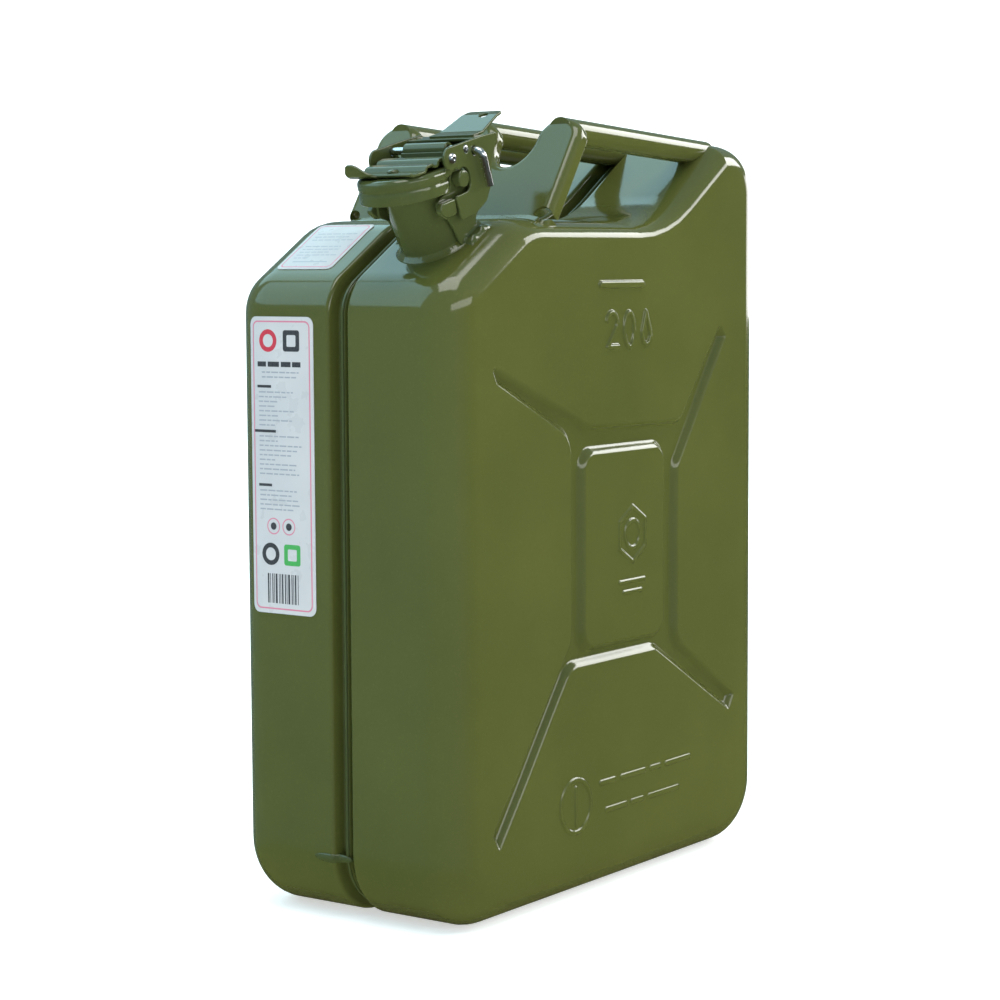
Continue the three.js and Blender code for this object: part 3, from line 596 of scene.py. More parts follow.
def face_mesh(near):
    """Points and faces of the flat of a broad side, ending on face_loop."""
    leaves = face_cells(near)
    used = set()
    for x, z, s in leaves:
        used.update(((x, z), (x + s, z), (x + s, z + s), (x, z + s)))
    index, order, faces, count = {}, [], [], {}

    def vertex(key):
        if key not in index:
            index[key] = len(order)
            order.append(key)
        return index[key]

    for x, z, s in leaves:
        walk = [(x + k, z) for k in range(s)] + [(x + s, z + k) for k in range(s)]
        walk += [(x + s - k, z + s) for k in range(s)] + [(x, z + s - k) for k in range(s)]
        face = [vertex(k) for k in walk if k in used]
        faces.append(face)
        for a, b in zip(face, face[1:] + face[:1]):
            count[frozenset((a, b))] = count.get(frozenset((a, b)), 0) + 1
    rim = [tuple(e) for e, c in count.items() if c == 1]
    rim_ids = sorted({i for e in rim for i in e})
    points = [Vector((order[i][0] / 2.0, order[i][1] / 2.0)) for i in rim_ids]
    local = {g: k for k, g in enumerate(rim_ids)}
    base = len(order)
    n = len(face_loop)
    points += [Vector(p) for p in face_loop]
    inner = len(rim_ids)
    edges = [(local[a], local[b]) for a, b in rim] + [(inner + k, inner + (k + 1) % n) for k in range(n)]
    out = delaunay_2d_cdt(points, edges, [], 0, 1e-6)
    back = {i: o[0] for i, o in enumerate(out[3]) if o}
    solid = {(x + i, z + j) for x, z, s in leaves for i in range(s) for j in range(s)}
    tris = [t for t in out[2] if all(i in back for i in t)]
    centres = np.array([[sum(out[0][i][a] for i in t) / 3 for a in (0, 1)] for t in tris])
    within = signed_distance(centres, face_loop) < 0
    for t, c, ok in zip(tris, centres, within):
        if ok and (math.floor(c[0] * 2), math.floor(c[1] * 2)) not in solid:
            faces.append([rim_ids[back[i]] if back[i] < inner else base + back[i] - inner for i in t])
    flat = np.array([(x / 2.0, z / 2.0) for x, z in order] + [tuple(p) for p in face_loop])
    return flat, faces, base


def seam_loops():
    """Outline insets and depths from the flat, over the wall, to the ridge in the seam recess."""
    lip, foot = 2.6, 2.2
    rows = [([c[3] + FACE_LOOP_EXTRA for c in BODY], HALF_WIDTH)]
    rows += [([c[3] * rise for c in BODY], HALF_WIDTH - EDGE_DEPTH * fall)
             for fall, rise in reversed(eased(14))]
    rows += [(0.0, y) for y in (HALF_WIDTH - EDGE_DEPTH - 1.5, 44, 30, 18, SEAM_HALF + lip + 1.0)]
    rows += [(lip * c, SEAM_HALF + lip * s) for s, c in eased(6)]
    rows.append((SEAM_DEPTH - foot - 1.5, SEAM_HALF - 0.5))
    rows += [(SEAM_DEPTH - foot * s, SEAM_HALF - 0.7 - foot * c) for s, c in eased(4)]
    ridge = ((0, 3.2), (0.3, 2.6), (1.4, 2.15), (2.8, 1.9), (3.6, 1.5), (4.0, 0.9), (4.05, 0.1))
    return rows + [(SEAM_DEPTH - rise, y) for rise, y in ridge]


def neck_point(a, b, h):
    """Point of the neck's own frame: h along its axis."""
    s, c = sin(NECK_LEAN), cos(NECK_LEAN)
    return (NECK_X + SHIFT + a * c - h * s, NECK_Y + b, NECK_Z + a * s + h * c)


def neck_cylinder(radius, h0, h1):
    return loft([[neck_point(a, b, h) for a, b in circle(0, 0, radius, 64)] for h in (h0, h1)])


def half_shell(side):
    """One drawn half: the worked flat, then loops over the wall to the ridge in the seam recess."""
    near = side < 0
    flat, faces, base = face_mesh(near)
    depth = face_depth(flat, near)
    depth[base:] = 0
    verts = [(x + SHIFT, side * (HALF_WIDTH - d), z) for (x, z), d in zip(flat, depth)]
    n = len(face_loop)
    previous = base
    for insets, y in seam_loops()[1:]:
        loop = filleted(BODY, insets)
        start = len(verts)
        verts += [(x + SHIFT, side * y, z) for x, z in loop]
        faces += bridge(previous, start, n)
        previous = start
    which = "near" if near else "far"
    piece = make("shell_" + which, verts, faces, enamel, "can", ["body_half_" + which], weighted=False)
    thick = piece.modifiers.new("sheet", "SOLIDIFY")
    thick.thickness, thick.offset = SHEET * MM, -1
    apply_modifiers(piece)
    if near:
        carve(piece, *neck_cylinder(NECK_R - NECK_WALL + 0.2, -30, 60))
    mesh = piece.data
    mesh.set_sharp_from_angle(angle=radians(50))
    drawn_normals(mesh, side, near)
    return piece


def drawn_normals(mesh, side, near):
    """Gives the worked flat its normals from the drawn surface, so highlights run clean."""
    count = len(mesh.vertices)
    co = np.zeros(count * 3)
    mesh.vertices.foreach_get("co", co)
    co = co.reshape(-1, 3) / MM
    p = co[:, [0, 2]] - np.array([SHIFT, 0])
    ids = np.nonzero(np.abs(co[:, 1]) > HALF_WIDTH - PRESS_WALL)[0]
    ids = ids[signed_distance(p[ids], face_loop) < -0.6]
    on_surface = np.abs(HALF_WIDTH - np.abs(co[ids, 1]) - face_depth(p[ids], near)) < 0.05
    ids = ids[on_surface]
    e = 0.12
    slopes = [(face_depth(p[ids] + d, near) - face_depth(p[ids] - d, near)) / (2 * e)
              for d in ([e, 0], [0, e])]
    normals = np.zeros((count, 3))
    found = np.stack([slopes[0], np.full(len(ids), float(side)), slopes[1]], 1)
    normals[ids] = found / np.linalg.norm(found, axis=1)[:, None]
    mesh.normals_split_custom_set_from_vertices([tuple(v) for v in normals])


shell_near, shell_far = half_shell(-1), half_shell(1)


def tree_of(*pieces):
    """Ray-cast tree of placed pieces, in metres."""
    verts, faces = [], []
    for piece in pieces:
        start = len(verts)
        verts += [v.co.copy() for v in piece.data.vertices]
        faces += [tuple(start + i for i in p.vertices) for p in piece.data.polygons]
    return BVHTree.FromPolygons(verts, faces)


skin = tree_of(shell_near, shell_far)


def drop(point, direction):
    """Where a ray meets the shells, and the outward normal there. Millimetres."""
    d = Vector(direction).normalized()
    place, normal, _, _ = skin.ray_cast(Vector(point) * MM, d)
    if place is None:
        return None
    if normal.dot(d) > 0:
        normal = -normal
    return place / MM, normal


def seam_bead():
    """Weld bead along the ridge where the halves meet."""
    bead = []
    for i, (p, q) in enumerate(zip(filleted(BODY, SEAM_DEPTH - 4.2), filleted(BODY, SEAM_DEPTH - 5.2))):
        d = (q - p) / max(np.linalg.norm(q - p), 1e-9)
        r = 0.85 + 0.06 * sin(i * 2.4)  # it swells a little along its run
        bead.append([(p[0] + SHIFT + d[0] * a, b, p[1] + d[1] * a)
                     for a, b in circle(0, 0, 0.8 * r, 10, 1.25 * r)])
    make("seam_bead", *loft(bead + [bead[0]], False), enamel_small, "can", ["seam_weld"], angle=80)


seam_bead()

# ---- filler neck
NECK_AXIS = Vector((-sin(NECK_LEAN), 0, cos(NECK_LEAN)))
LID_NORMAL = Vector((-sin(TILT), 0, cos(TILT)))


def mouth_height(r, angle):
    """Height along the neck at which its mouth's plane cuts the wall."""
    foot = Vector(neck_point(r * cos(angle), r * sin(angle), 0))
    return (MOUTH - (foot - Vector(closure(0, 0, 0))).dot(LID_NORMAL)) / NECK_AXIS.dot(LID_NORMAL)


def neck_tube():
    """Bored tube with a rounded mouth; each row's height counts up the neck, or down from the mouth."""
    steps, inner = 96, NECK_R - NECK_WALL
    mid = (NECK_R + inner) / 2
    rows = [(NECK_R, -9.0, False), (NECK_R, 8.0, False), (NECK_R, 20.0, False), (NECK_R, 1.6, True)]
    rows += [(r, NECK_WALL / 2 - h, True) for r, h in arc(mid, 0, NECK_WALL / 2, 0, 180, 6)]
    rows += [(inner, 1.6, True), (inner, 20.0, False), (inner, -9.0, False)]
    loops = [[neck_point(r * cos(a), r * sin(a), mouth_height(r, a) - h if from_mouth else h)
              for a in (TAU * k / steps for k in range(steps))] for r, h, from_mouth in rows]
    make("neck_tube", *loft(loops + [loops[0]], False), enamel_small, "can", ["filler_neck"], angle=60)


def foot_height(r, angle, above=30):
    """Height along the neck at which a line beside it meets the shoulder."""
    start = Vector(neck_point(r * cos(angle), r * sin(angle), above))
    return above - (start - drop(start, -NECK_AXIS)[0]).dot(NECK_AXIS)


def neck_bead():
    """The weld round the foot of the neck, in its front and rear runs."""
    steps = 180
    section = []
    for k in range(steps):
        a = TAU * k / steps
        ripple = 0.16 * sin(k * 2.1) + 0.1 * sin(k * 0.9 + 1)
        inner, outer = foot_height(NECK_R + 0.15, a), foot_height(NECK_R + 3.2, a)
        ring = []
        for j in range(9):
            t = j / 8
            r = NECK_R - 0.1 + 3.4 * t ** 1.25
            h = (inner + 3.2 + ripple) * (1 - t) ** 1.5 + (outer
                                                           + 0.1) * (1 - (1 - t) ** 1.5) + 0.5 * sin(pi * t)
            ring.append(neck_point(r * cos(a), r * sin(a), h))
        ring += [neck_point((NECK_R + 3.3) * cos(a), (NECK_R + 3.3) * sin(a), outer - 1.0),
                 neck_point((NECK_R - 0.1) * cos(a), (NECK_R - 0.1) * sin(a), inner - 0.6)]
        section.append(ring)
    make("neck_bead", *loft(section + [section[0]], False), enamel, "can",
         ["neck_weld_front", "neck_weld_rear"],
         angle=70)


neck_tube()
neck_bead()
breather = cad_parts["breather_pipe"].data
breather.materials.clear()
breather.materials.append(tube_steel)
smooth_shaded(breather)


# ---- fixed parts of the closure
def cheek(name, corners, holes, inner, outer, rim, side, body, nodes=()):
    """A plate drawn in (u, v) on one side of the neck, between two distances from its middle."""
    make(name, *plate(corners, holes, outer - inner, rim, lambda u, v, n: closure(u, side * (inner + n), v)),
         enamel_small, body, nodes)


def turned(name, profile, steps, uv, side, material, body, node):
    """A turned part on an axis across the closure; profile is (radius, distance from the neck's middle)."""
    slot = "zinc" if material is zinc else "enamel"
    shape = lathe([(r, side * h) for r, h in profile], steps, along_y(*uv))
    make(name, *shape, material, body, [node], slot, angle=40)


def rod(name, radius, half, chamfer, uv, body, node):
    """A zinc pin right across the closure, its ends eased."""
    ease = chamfer * 0.3
    end = [(0, half), (radius - chamfer, half), (radius - ease, half - ease), (radius, half - chamfer)]
    profile = [(r, -h) for r, h in end] + end[::-1]
    make(name, *lathe(profile, 32, along_y(*uv)), zinc, body, [node], "zinc")


def ear_foot(side, which):
    """The foot that an ear is welded down by: a pad on the shoulder with two spots of weld."""
    length, width, thickness, nu, ny = 19.0, 6.0, 2.1, 16, 8
    weld_spots = ((3.2, 2.7), (12.6, 2.7))
    grid = []
    for i in range(nu + 1):
        for j in range(ny + 1):
            u, y = -1.5 + length * i / nu, side * (EAR_OUT - 0.8 + width * j / ny)
            place, normal = drop(closure(u, y, -8), (0.25, 0, -1))
            edge = min(min(i, nu - i) / nu * length, (ny - j) / ny * width)
            spot = min(math.hypot(u - a, abs(y) - EAR_OUT - b) for a, b in weld_spots)
            rise = thickness * float(smooth(edge / 1.4 + 0.25)) + 1.2 * float(smooth((2.2 - spot) / 1.5))
            lift = max(0.0, 1.6 - width * j / ny) ** 1.5
            grid.append(Vector(place) + normal * (rise + lift))
    wide, below = ny + 1, len(grid)
    faces = [(i * wide + j, (i + 1) * wide + j, (i + 1) * wide + j + 1, i * wide + j + 1)
             for i in range(nu) for j in range(ny)]
    faces += [tuple(below + i for i in reversed(f)) for f in faces]
    rim = [i * wide for i in range(nu + 1)] + [nu * wide + j for j in range(1, wide)]
    rim += [i * wide + ny for i in range(nu - 1, -1, -1)] + list(range(ny - 1, 0, -1))
    faces += [(a, b, b + below, a + below) for a, b in zip(rim, rim[1:] + rim[:1])]
    verts = grid + [p - Vector((0, 0, 3.0)) for p in grid]
    make("ear_foot_" + which, verts, faces, enamel_small, "can", angle=60, weighted=False)


HINGE_HOLE = (*HINGE_UV, 2.45)
EAR = [
    (-6.2, 3.5, 4), (-7, -4, 3), (-21, -9, 2.5), (-21, -17, 2.5), (-12.5, -21, 3), (-9, -27, 4),
    (-2, -44, 1), (17, -44, 1), (14, -32, 4), (11, -26.5, 5), (22.6, -17.5, 5), (23, -8, 5),
    (15, -3.4, 3.5), (6, 5, 5),
]
for side, which in SIDES:
    cheek("ear_" + which, EAR, [HINGE_HOLE], EAR_IN, EAR_OUT, 0.45, side, "can", ["hinge_ear_" + which])
    ear_foot(side, which)
    profile = [(0, EAR_IN - 0.2), (2.9, EAR_IN - 0.2), (2.9, EAR_OUT + 0.2), (4.4, EAR_OUT + 0.2),
               (4.9, EAR_OUT + 0.6),
               (5.0, LEVER_OUT - 0.3), (4.7, LEVER_OUT + 0.4), (4.1, LEVER_OUT + 0.8), (0, LEVER_OUT + 0.95)]
    turned("stud_" + which, profile, 40, (0, 0), side, enamel_small, "can", "latch_stud_" + which)
    lug = [(-25.5, -13.4, 2.2), (-21.5, -9.6, 2.4), (-9.5, -9.2, 1.4), (-9.5, -18.6, 2.2), (-19, -18.4, 3.2)]
    cheek("lug_" + which, lug, [], EAR_OUT + 0.3, EAR_OUT + 4.3, 0.9, side, "can", ["neck_lug_" + which])

rod("lid_hinge_pin", 2.2, LID_OUT + 0.8, 0.7, HINGE_UV, "can", "hinge_pin")


# ---- lid
def lid_plan(half, front, rear, steps=40):
    """Plan of the lid with rounded front and eased rear corners."""
    pts = [(front + half * 1.02 + half * 1.02 * cos(pi / 2 + pi * k / steps),
            half * sin(pi / 2 + pi * k / steps))
           for k in range(steps + 1)]
    ease = 4.0
    pts += [(rear - ease * s, -half + ease * c) for s, c in eased(5)]
    return pts + [(rear - ease * c, half - ease * s) for s, c in eased(5)]


def cap_shell():
    rows = [(15.0, LID_TOP), (9.0, LID_TOP), (4.6, LID_TOP)]
    rows += [(3.4 * s, LID_TOP - 3.0 * c) for s, c in eased(6)]
    rows += [(0.05, 3.5), (0.15, 2.6), (0.5, 2.2), (0.55, 1.2), (0.2, 0.8), (0.0, -1.0),
             (0.0, LID_SKIRT + 0.7)]
    rows += arc(0.8, LID_SKIRT + 0.7, 0.8, 180, 360, 6)[1:-1]
    rows += [(1.6, LID_SKIRT + 1), (1.6, 5.2), (2.6, 6.9), (6, 7.0), (15.0, 7.0)]
    loops = []
    for inset, v in rows:
        plan = lid_plan(LID_OUT - inset, LID_FRONT + inset, LID_REAR - min(inset, 3.5))
        loops.append([closure(u, y, v) for u, y in plan])
    piece = make("cap_shell", *loft(loops), enamel_small, "lid", ["cap"])
    block = [closure(u, y, v) for u in (-11.5, 40) for y in (-40, 40) for v in (-30, 5.0)]
    carve(piece, block, [(0, 1, 3, 2), (4, 6, 7, 5), (0, 4, 5, 1), (2, 3, 7, 6), (0, 2, 6, 4), (1, 5, 7, 3)])
    piece.data.set_sharp_from_angle(angle=radians(50))
    weigh_normals(piece)


LID_ARM = [
    (-13, 2.6, 1.5), (-7.5, 4.2, 2), (-3.5, 6.2, 3), (3.6, 6.4, 3), (8.2, 2.4, 4), (12.2, -12, 5),
    (22.9, -15.4, 5), (22.8, -5.4, 5), (12.5, 9, 6), (7, 10.6, 3), (-9, 8.8, 2), (-13, 7.6, 1.5),
]
cap_shell()
for side, which in SIDES:
    cheek("cap_arm_" + which, LID_ARM, [HINGE_HOLE], LID_IN, LID_OUT, 0.4, side, "lid")

GASKET_U, DOME_U = -10.7, -28
profile = [(15.5, 4.3), (16.0, 3.8), (20.5, 3.8), (21.0, 4.3), (21.0, 6.2), (20.5, 6.7), (16.0, 6.7),
           (15.5, 6.2)]
make("lid_gasket", *lathe(profile, 64, lambda a, b, h: closure(GASKET_U + a, b, h)), rubber, "lid",
     ["cap_gasket"],
     "rubber")


def bent(name, corners, holes, path, radii, thickness, rim, body="lid", nodes=()):
    """A bent sheet: corners are drawn in (s along the path, y); the path is in (u, v)."""
    at, stations = bend_path(path, radii)
    cuts = sorted(set(round(s, 3) for s in stations[1:-1]))

    def place(s, y, n):
        point, normal = at(s)
        q = point + normal * n
        return closure(q[0], y, q[1])

    make(name, *plate(corners, holes, thickness, rim, place, cuts), enamel_small, body, nodes)


# strap: flat on the lid, two ribs, then up to the knuckle; a finger lip curls up at its front
strap_path = [(-36.5, 0.0), (-26.5, 0.0), (-24.2, 2.3), (-19.6, 2.6), (-17.6, 0.9), (-14.6, 0.9),
              (-12.6, 3.6), (-7.0, 3.9), (-4.6, 1.4),
              (-1.0, 1.2), (1.6, 2.6), (2.1, 6.4)]
strap_path = [(u, v + STRAP_V) for u, v in strap_path]
S = bend_path(strap_path, [1.6] * 10)[1][-1]
bent("strap_sheet",
     [(0, -22, 3), (S - 9, -22, 2.5), (S - 7, -15.6, 2), (S, -15, 0.6), (S, 15, 0.6), (S - 7, 15.6, 2),
      (S - 9, 22, 2.5), (0, 22, 3)],
     [], strap_path, [1.6] * 10, STRAP_T, 0.5, nodes=["cap_strap"])
lip_path = [(-31, STRAP_V + 0.02), (-37.9, STRAP_V + 0.02), (-42.3, STRAP_V + 2.2), (-44.9, STRAP_V + 9.2)]
S = bend_path(lip_path, [7, 7])[1][-1]
bent("strap_lip",
     [(0, 2, 1), (S - 9, 4, 8), (S - 1.5, 12.5, 4), (S, 15.5, 3), (S, 20, 2.6), (S - 5, 22.6, 5), (0, 22, 1)],
     [],
     lip_path, [7, 7], -STRAP_T, -0.5)
front_path = [(-33, STRAP_V + 0.02), (-36.9, STRAP_V + 0.02), (-38.6, STRAP_V + 1.5)]
S = bend_path(front_path, [2.4])[1][-1]
bent("strap_front_edge", [(0, -21.8, 1), (S, -20.5, 1.2), (S, 8, 1.2), (0, 8, 1)], [], front_path, [2.4],
     -STRAP_T, -0.5)

# knuckle rolled round the lever's pin
section = [(2.55, -14.6), (2.75, -15), (4.0, -15), (4.25, -14.6), (4.25, 14.6), (4.0, 15), (2.75, 15),
           (2.55, 14.6)]
turns = [radians(250 - 330 * k / 36) for k in range(37)]
rings = [[closure(PIVOT_UV[0] + r * cos(a), y, PIVOT_UV[1] + r * sin(a)) for r, y in section] for a in turns]
make("strap_knuckle", *loft(rings), enamel_small, "lid", angle=45)

dome = [(0, -0.4), (3.2, -0.4), (3.4, 0.2), (3.2, 0.8), (2.5, 1.25), (1.4, 1.5), (0, 1.6)]
make("strap_rivet_dome", *lathe(dome, 28, lambda a, b, h: closure(DOME_U + a, b, STRAP_V + STRAP_T + h)),
     enamel_small, "lid", ["strap_rivet"], "zinc")
rod("lever_pin", 2.2, LEVER_OUT, 0.5, PIVOT_UV, "lid", "lever_pivot_pin")

# ---- latch lever
CHEEK = [
    (-14.8, 19.6, 6.4), (-14.8, 6.2, 6.2), (-3.6, 6.9, 1.6), (-2.6, 5.4, 1.4), (6.6, 8.0, 5.4),
    (6.4, -7.6, 5.4), (-9.6, -8.6, 1.6), (-6.6, -22.4, 2.5), (6.5, -22.2, 9), (19, -17.4, 8),
    (27, -7.4, 6), (28, 2, 5), (39.2, 18.8, 2), (19.5, 19.6, 6),
]
for side, which in SIDES:
    cheek("lever_cheek_" + which, CHEEK, [(*LOCK_UV, 2.6), (*PIVOT_UV, 2.4)], LEVER_IN, LEVER_OUT, 0.5, side,
          "lever",
          ["latch_lever"] if side < 0 else [])
    head = [(0, LEVER_IN + 0.2), (1.45, LEVER_IN + 0.2)]
    head += [(r, LEVER_OUT + h)
             for r, h in ((1.45, 0), (2.9, 0), (3.05, 0.4), (2.7, 1.2), (1.9, 1.75), (1.2, 1.7),
                                             (0.8, 1.2), (0, 1.15))]
    turned("lever_stud_head_" + which, head, 28, RIVET_UV, side, zinc, "lever", "lever_rivet_" + which)

# the web that joins the cheeks, folded over at the rear
web_path = [(21.5, 18.4), (38.4, 17.6), (27.6, 1.8)]
S, HALF = bend_path(web_path, [1.4])[1][-1], LEVER_OUT - 0.3
bent("lever_web", [(0, -HALF, 0.6), (S, -HALF, 2), (S, HALF, 2), (0, HALF, 0.6), (2.5, 12, 6), (2.5, -12, 6)],
     [], web_path, [1.4], -1.8, -0.5,
     body="lever")
tab_path = [(30, 17.3), (40.8, 17.4), (60.5, 23.2), (67.5, 24.0)]
S = bend_path(tab_path, [6, 7])[1][-1]
bent("lever_tab",
     [(0, -16, 1), (11, -15.5, 8), (S - 4, -12.6, 8), (S, -12.2, 3), (S, 12.2, 3), (S - 4, 12.6, 8),
      (11, 15.5, 8), (0, 16, 1)],
     [(S - 7, -3.5, 2.9)], tab_path, [6, 7],
     1.8, 0.55, body="lever")

# locking pin of bent wire
WIRE_R, WIRE_HANG = 2.3, (0.13, -0.99)
WIRE_TURN, TURN_Y, TURN_OUT = 4.2, -27.6, 4.6


def lock_wire():
    """Straight through the near cheek, then a turn, then down the cheek's outside to a rounded end."""
    u, v = LOCK_UV
    runs = [(0, y) for y in (-12.5, -20, TURN_Y)]
    runs += [(WIRE_TURN * c, TURN_Y - TURN_OUT * (1 - s)) for s, c in eased(9)[1:]]
    runs += [(WIRE_TURN + d, TURN_Y - TURN_OUT) for d in (4, 10, 16.5)]
    pts = [Vector(closure(u + WIRE_HANG[0] * along, y, v + WIRE_HANG[1] * along)) for along, y in runs]
    last = (pts[-1] - pts[-2]).normalized()
    pts += [pts[-1] + last * d for d in (0.5, 0.9, 1.1)]

    def radius(t):
        return WIRE_R * math.sqrt(max(0.15, 1 - (max(0, t - 0.86) / 0.145) ** 2))

    make("lock_wire", *tube(pts, radius, 22), zinc, "pin", ["locking_pin"], "zinc")


lock_wire()

# ---- handle
BRACKET_TOP = (TOP - VALLEY) / cos(LEAN)
LOBE_CENTRE = BRACKET_TOP - LOBE_R
DIP_DEPTH, BRACKET_T = 19.0, 1.8


def bracket_point(y, w, n):
    """w runs up the leaning plate, n square to it towards the rear."""
    return (FOOT_X + SHIFT + w * sin(LEAN) + n * cos(LEAN), y, VALLEY + w * cos(LEAN) - n * sin(LEAN))


def bracket_outline(inset, foot):
    """Lobed outline of the plate in (y, w); inset draws it inside its own rounded edge."""
    pts = [(-(BRACKET_HALF - inset), foot + w) for w in np.linspace(0, LOBE_CENTRE - foot - 0.5, 16)]
    dip = BAR_SPACING / 2 - LOBE_R
    for y in (-BAR_SPACING, 0, BAR_SPACING):
        left, right = (BRACKET_HALF - BAR_SPACING if y == end else LOBE_R
                       for end in (-BAR_SPACING, BAR_SPACING))
        pts += arc(y, LOBE_CENTRE, left - inset, 180, 90, 24, LOBE_R - inset)
        pts += arc(y, LOBE_CENTRE, right - inset, 90, 0, 24, LOBE_R - inset)[1:]
        if y < BAR_SPACING:
            pts += arc(y + BAR_SPACING / 2, LOBE_CENTRE, dip + inset, 180, 360, 48, DIP_DEPTH + inset)[1:-1]
    pts += [(BRACKET_HALF - inset, foot + w) for w in np.linspace(LOBE_CENTRE - foot - 0.5, 0, 16)]
    return pts


def bracket():
    """The lobed sheet with its flange rolled back at the top, and a round notch at each lower corner."""
    foot, round_r, depth, t = -9.0, 5.4, 10.5, BRACKET_T
    rows = [(11.0, 0.0), (7.5, 0.0), (round_r + 0.6, 0.0)]
    rows += [(round_r * s, round_r * c) for s, c in eased(8)]
    rows += [(0, 6.6), (0, 8.6), (0, depth - 0.8), (0.25, depth - 0.2), (t / 2, depth),
             (t - 0.25, depth - 0.2)]
    rows += [(t, depth - 0.8), (t, 8.0)]
    inner = round_r - t
    rows += [(t + inner * c, t + inner * s) for s, c in eased(6)]
    rows += [(round_r + 0.8, t), (7.5, t), (11.0, t)]
    loops = [[bracket_point(y, w, n) for y, w in bracket_outline(inset, foot)] for inset, n in rows]
    piece = make("bracket_sheet", *loft(loops), enamel, "can", ["handle_bracket"], weighted=False)
    for side in (-1, 1):
        notch = circle(side * (BRACKET_HALF - 5.5), 3.6, 5.75, 36, 5)
        carve(piece, *loft([[bracket_point(y, w, n) for y, w in notch] for n in (-20, 30)]))
    piece.data.set_sharp_from_angle(angle=radians(50))
    weigh_normals(piece)


FRONT_Z, REAR_X, REAR_Z = 462.2, 128.0, 453.5
FRONT_X = FOOT_X + (FRONT_Z - VALLEY) * math.tan(LEAN)


def carrying_bar(y, name, node):
    """Tube from the bracket's back into the hump."""
    slope = Vector((REAR_X - FRONT_X, 0, REAR_Z - FRONT_Z)).normalized()
    start = Vector((FRONT_X + SHIFT + BRACKET_T / cos(LEAN), y, FRONT_Z - 0.2))
    path = [start + slope * d for d in (0, 0.6, 10, 30, 60, 90, 120, 150, 158, 166)]
    make(name, *tube(path, BAR_R, 48), enamel, "can", [node])


def bracket_bead():
    """Weld along the foot of the bracket, both sides of the sheet and of the seam."""
    runs = [(face, direction, side) for face, direction in ((-0.3, -1), (1.9, 1)) for side in (-1, 1)]
    for number, (face, direction, side) in enumerate(runs):
        section, n = [], 75
        for k in range(n + 1):
            y = side * (9.8 + 61.0 * k / n)
            ripple = 0.1 * sin(k * 1.9) + 0.08 * sin(k * 0.7)
            z = drop(Vector(bracket_point(y, 12, face)) + Vector((direction * 0.6, 0, 0)), (0, 0, -1))[0].z
            w = (z - VALLEY) / cos(LEAN)
            ring = []
            for j in range(7):
                t = j / 6
                p = Vector(bracket_point(y, w + (2.8 + ripple) * (1 - t) ** 1.4, face))
                p.x += direction * (3.2 * t ** 1.3)
                p.z = max(p.z, z + 0.05) + 0.35 * sin(pi * t)
                ring.append(p)
            section.append(ring + [Vector((end.x, y, z - 1.5)) for end in (ring[-1], ring[0])])
        make("bracket_bead_%d" % number, *loft(section), enamel, "can", angle=75)


bracket()
for y, which in ((-BAR_SPACING, "near"), (0, "middle"), (BAR_SPACING, "far")):
    carrying_bar(y, "bar_" + which, "handle_bar_" + which)
bracket_bead()


def seam_bridge():
    """Short run of weld low on the front, from the far half's face down onto the seam ridge."""
    height, front = 38.0, drop((-260, 21, 38), (1, 0, 0))[0].x
    section = []
    for k in range(25):
        y = 21.0 - 24.5 * k / 24
        swell = math.sqrt(max(0.04, 1 - (k / 12 - 1) ** 2))
        x = min(drop((-260, y, height), (1, 0, 0))[0].x, front + 4.0)
        ring = [(x - 1.3 * swell * sin(pi * j / 8), y, height - k / 24 + 2.7 * swell * cos(pi * j / 8))
                for j in range(9)]
        section.append(ring + [(x + 2, y, ring[8][2]), (x + 2, y, ring[0][2])])
    make("seam_bridge", *loft(section), enamel_small, "can", angle=70)


seam_bridge()

# ---- labels, with plain blocks in place of print
FLAT_Y = HALF_WIDTH - EDGE_DEPTH
SLOPE = math.atan2(VALLEY - SHOULDER, -108 + LENGTH / 2)
FILM = 0.42
# the shoulder's straight part, the valley's bend and the rounding towards the broad side
SLOPE_RUN, SLOPE_TURN, SLOPE_EDGE = 63.1, 45, 20
# where the film and the ink are cut so that they follow the rounded edge and the valley's bend
Y_CUTS, S_CUTS = (57.5, 59, 60.5, 62, 63.5, 65), (63.1, 64.6, 66.1, 67.6, 69.1, 70.6)
WORD_LOW, WORD_HIGH, WORD_GAP, WORD_TALL = 2.2, 6.0, 0.8, 0.85


def front_place(y, z, n):
    """On the narrow front side, n off the sheet."""
    a = math.asin(max(0.0, y - FLAT_Y) / EDGE_DEPTH)
    return (-LENGTH / 2 + EDGE_DEPTH * (1 - cos(a)) + SHIFT - n * cos(a), y + n * sin(a), z)


def shoulder_place(y, s, n):
    """On the sloping shoulder, s up the slope from its lower corner, n off the sheet."""
    a = math.asin(max(0.0, y - FLAT_Y) / EDGE_DEPTH)
    straight, turn = min(s, SLOPE_RUN), max(0.0, s - SLOPE_RUN) / SLOPE_TURN
    along = Vector((cos(SLOPE), 0, sin(SLOPE)))
    out = Vector((-sin(SLOPE), 0, cos(SLOPE)))
    p = Vector((-LENGTH / 2 + SHIFT, 0, SHOULDER)) + along * (straight + SLOPE_TURN * sin(turn))
    p -= out * (SLOPE_TURN * (1 - cos(turn)))
    p += (out * cos(turn) + along * sin(turn)) * (n * cos(a) - SLOPE_EDGE * (1 - cos(a)))
    return (p.x, y + n * sin(a), p.z)


def corners_of(a0, a1, b0, b1, *r):
    return [(a0, b0, *r), (a1, b0, *r), (a1, b1, *r), (a0, b1, *r)]


def rounded(a0, a1, b0, b1, r):
    return [tuple(p) for p in filleted(corners_of(a0, a1, b0, b1, r), 0, 1e6)]


def block(a, b, wide, tall):
    return [corners_of(a - wide / 2, a + wide / 2, b - tall / 2, b + tall / 2)]


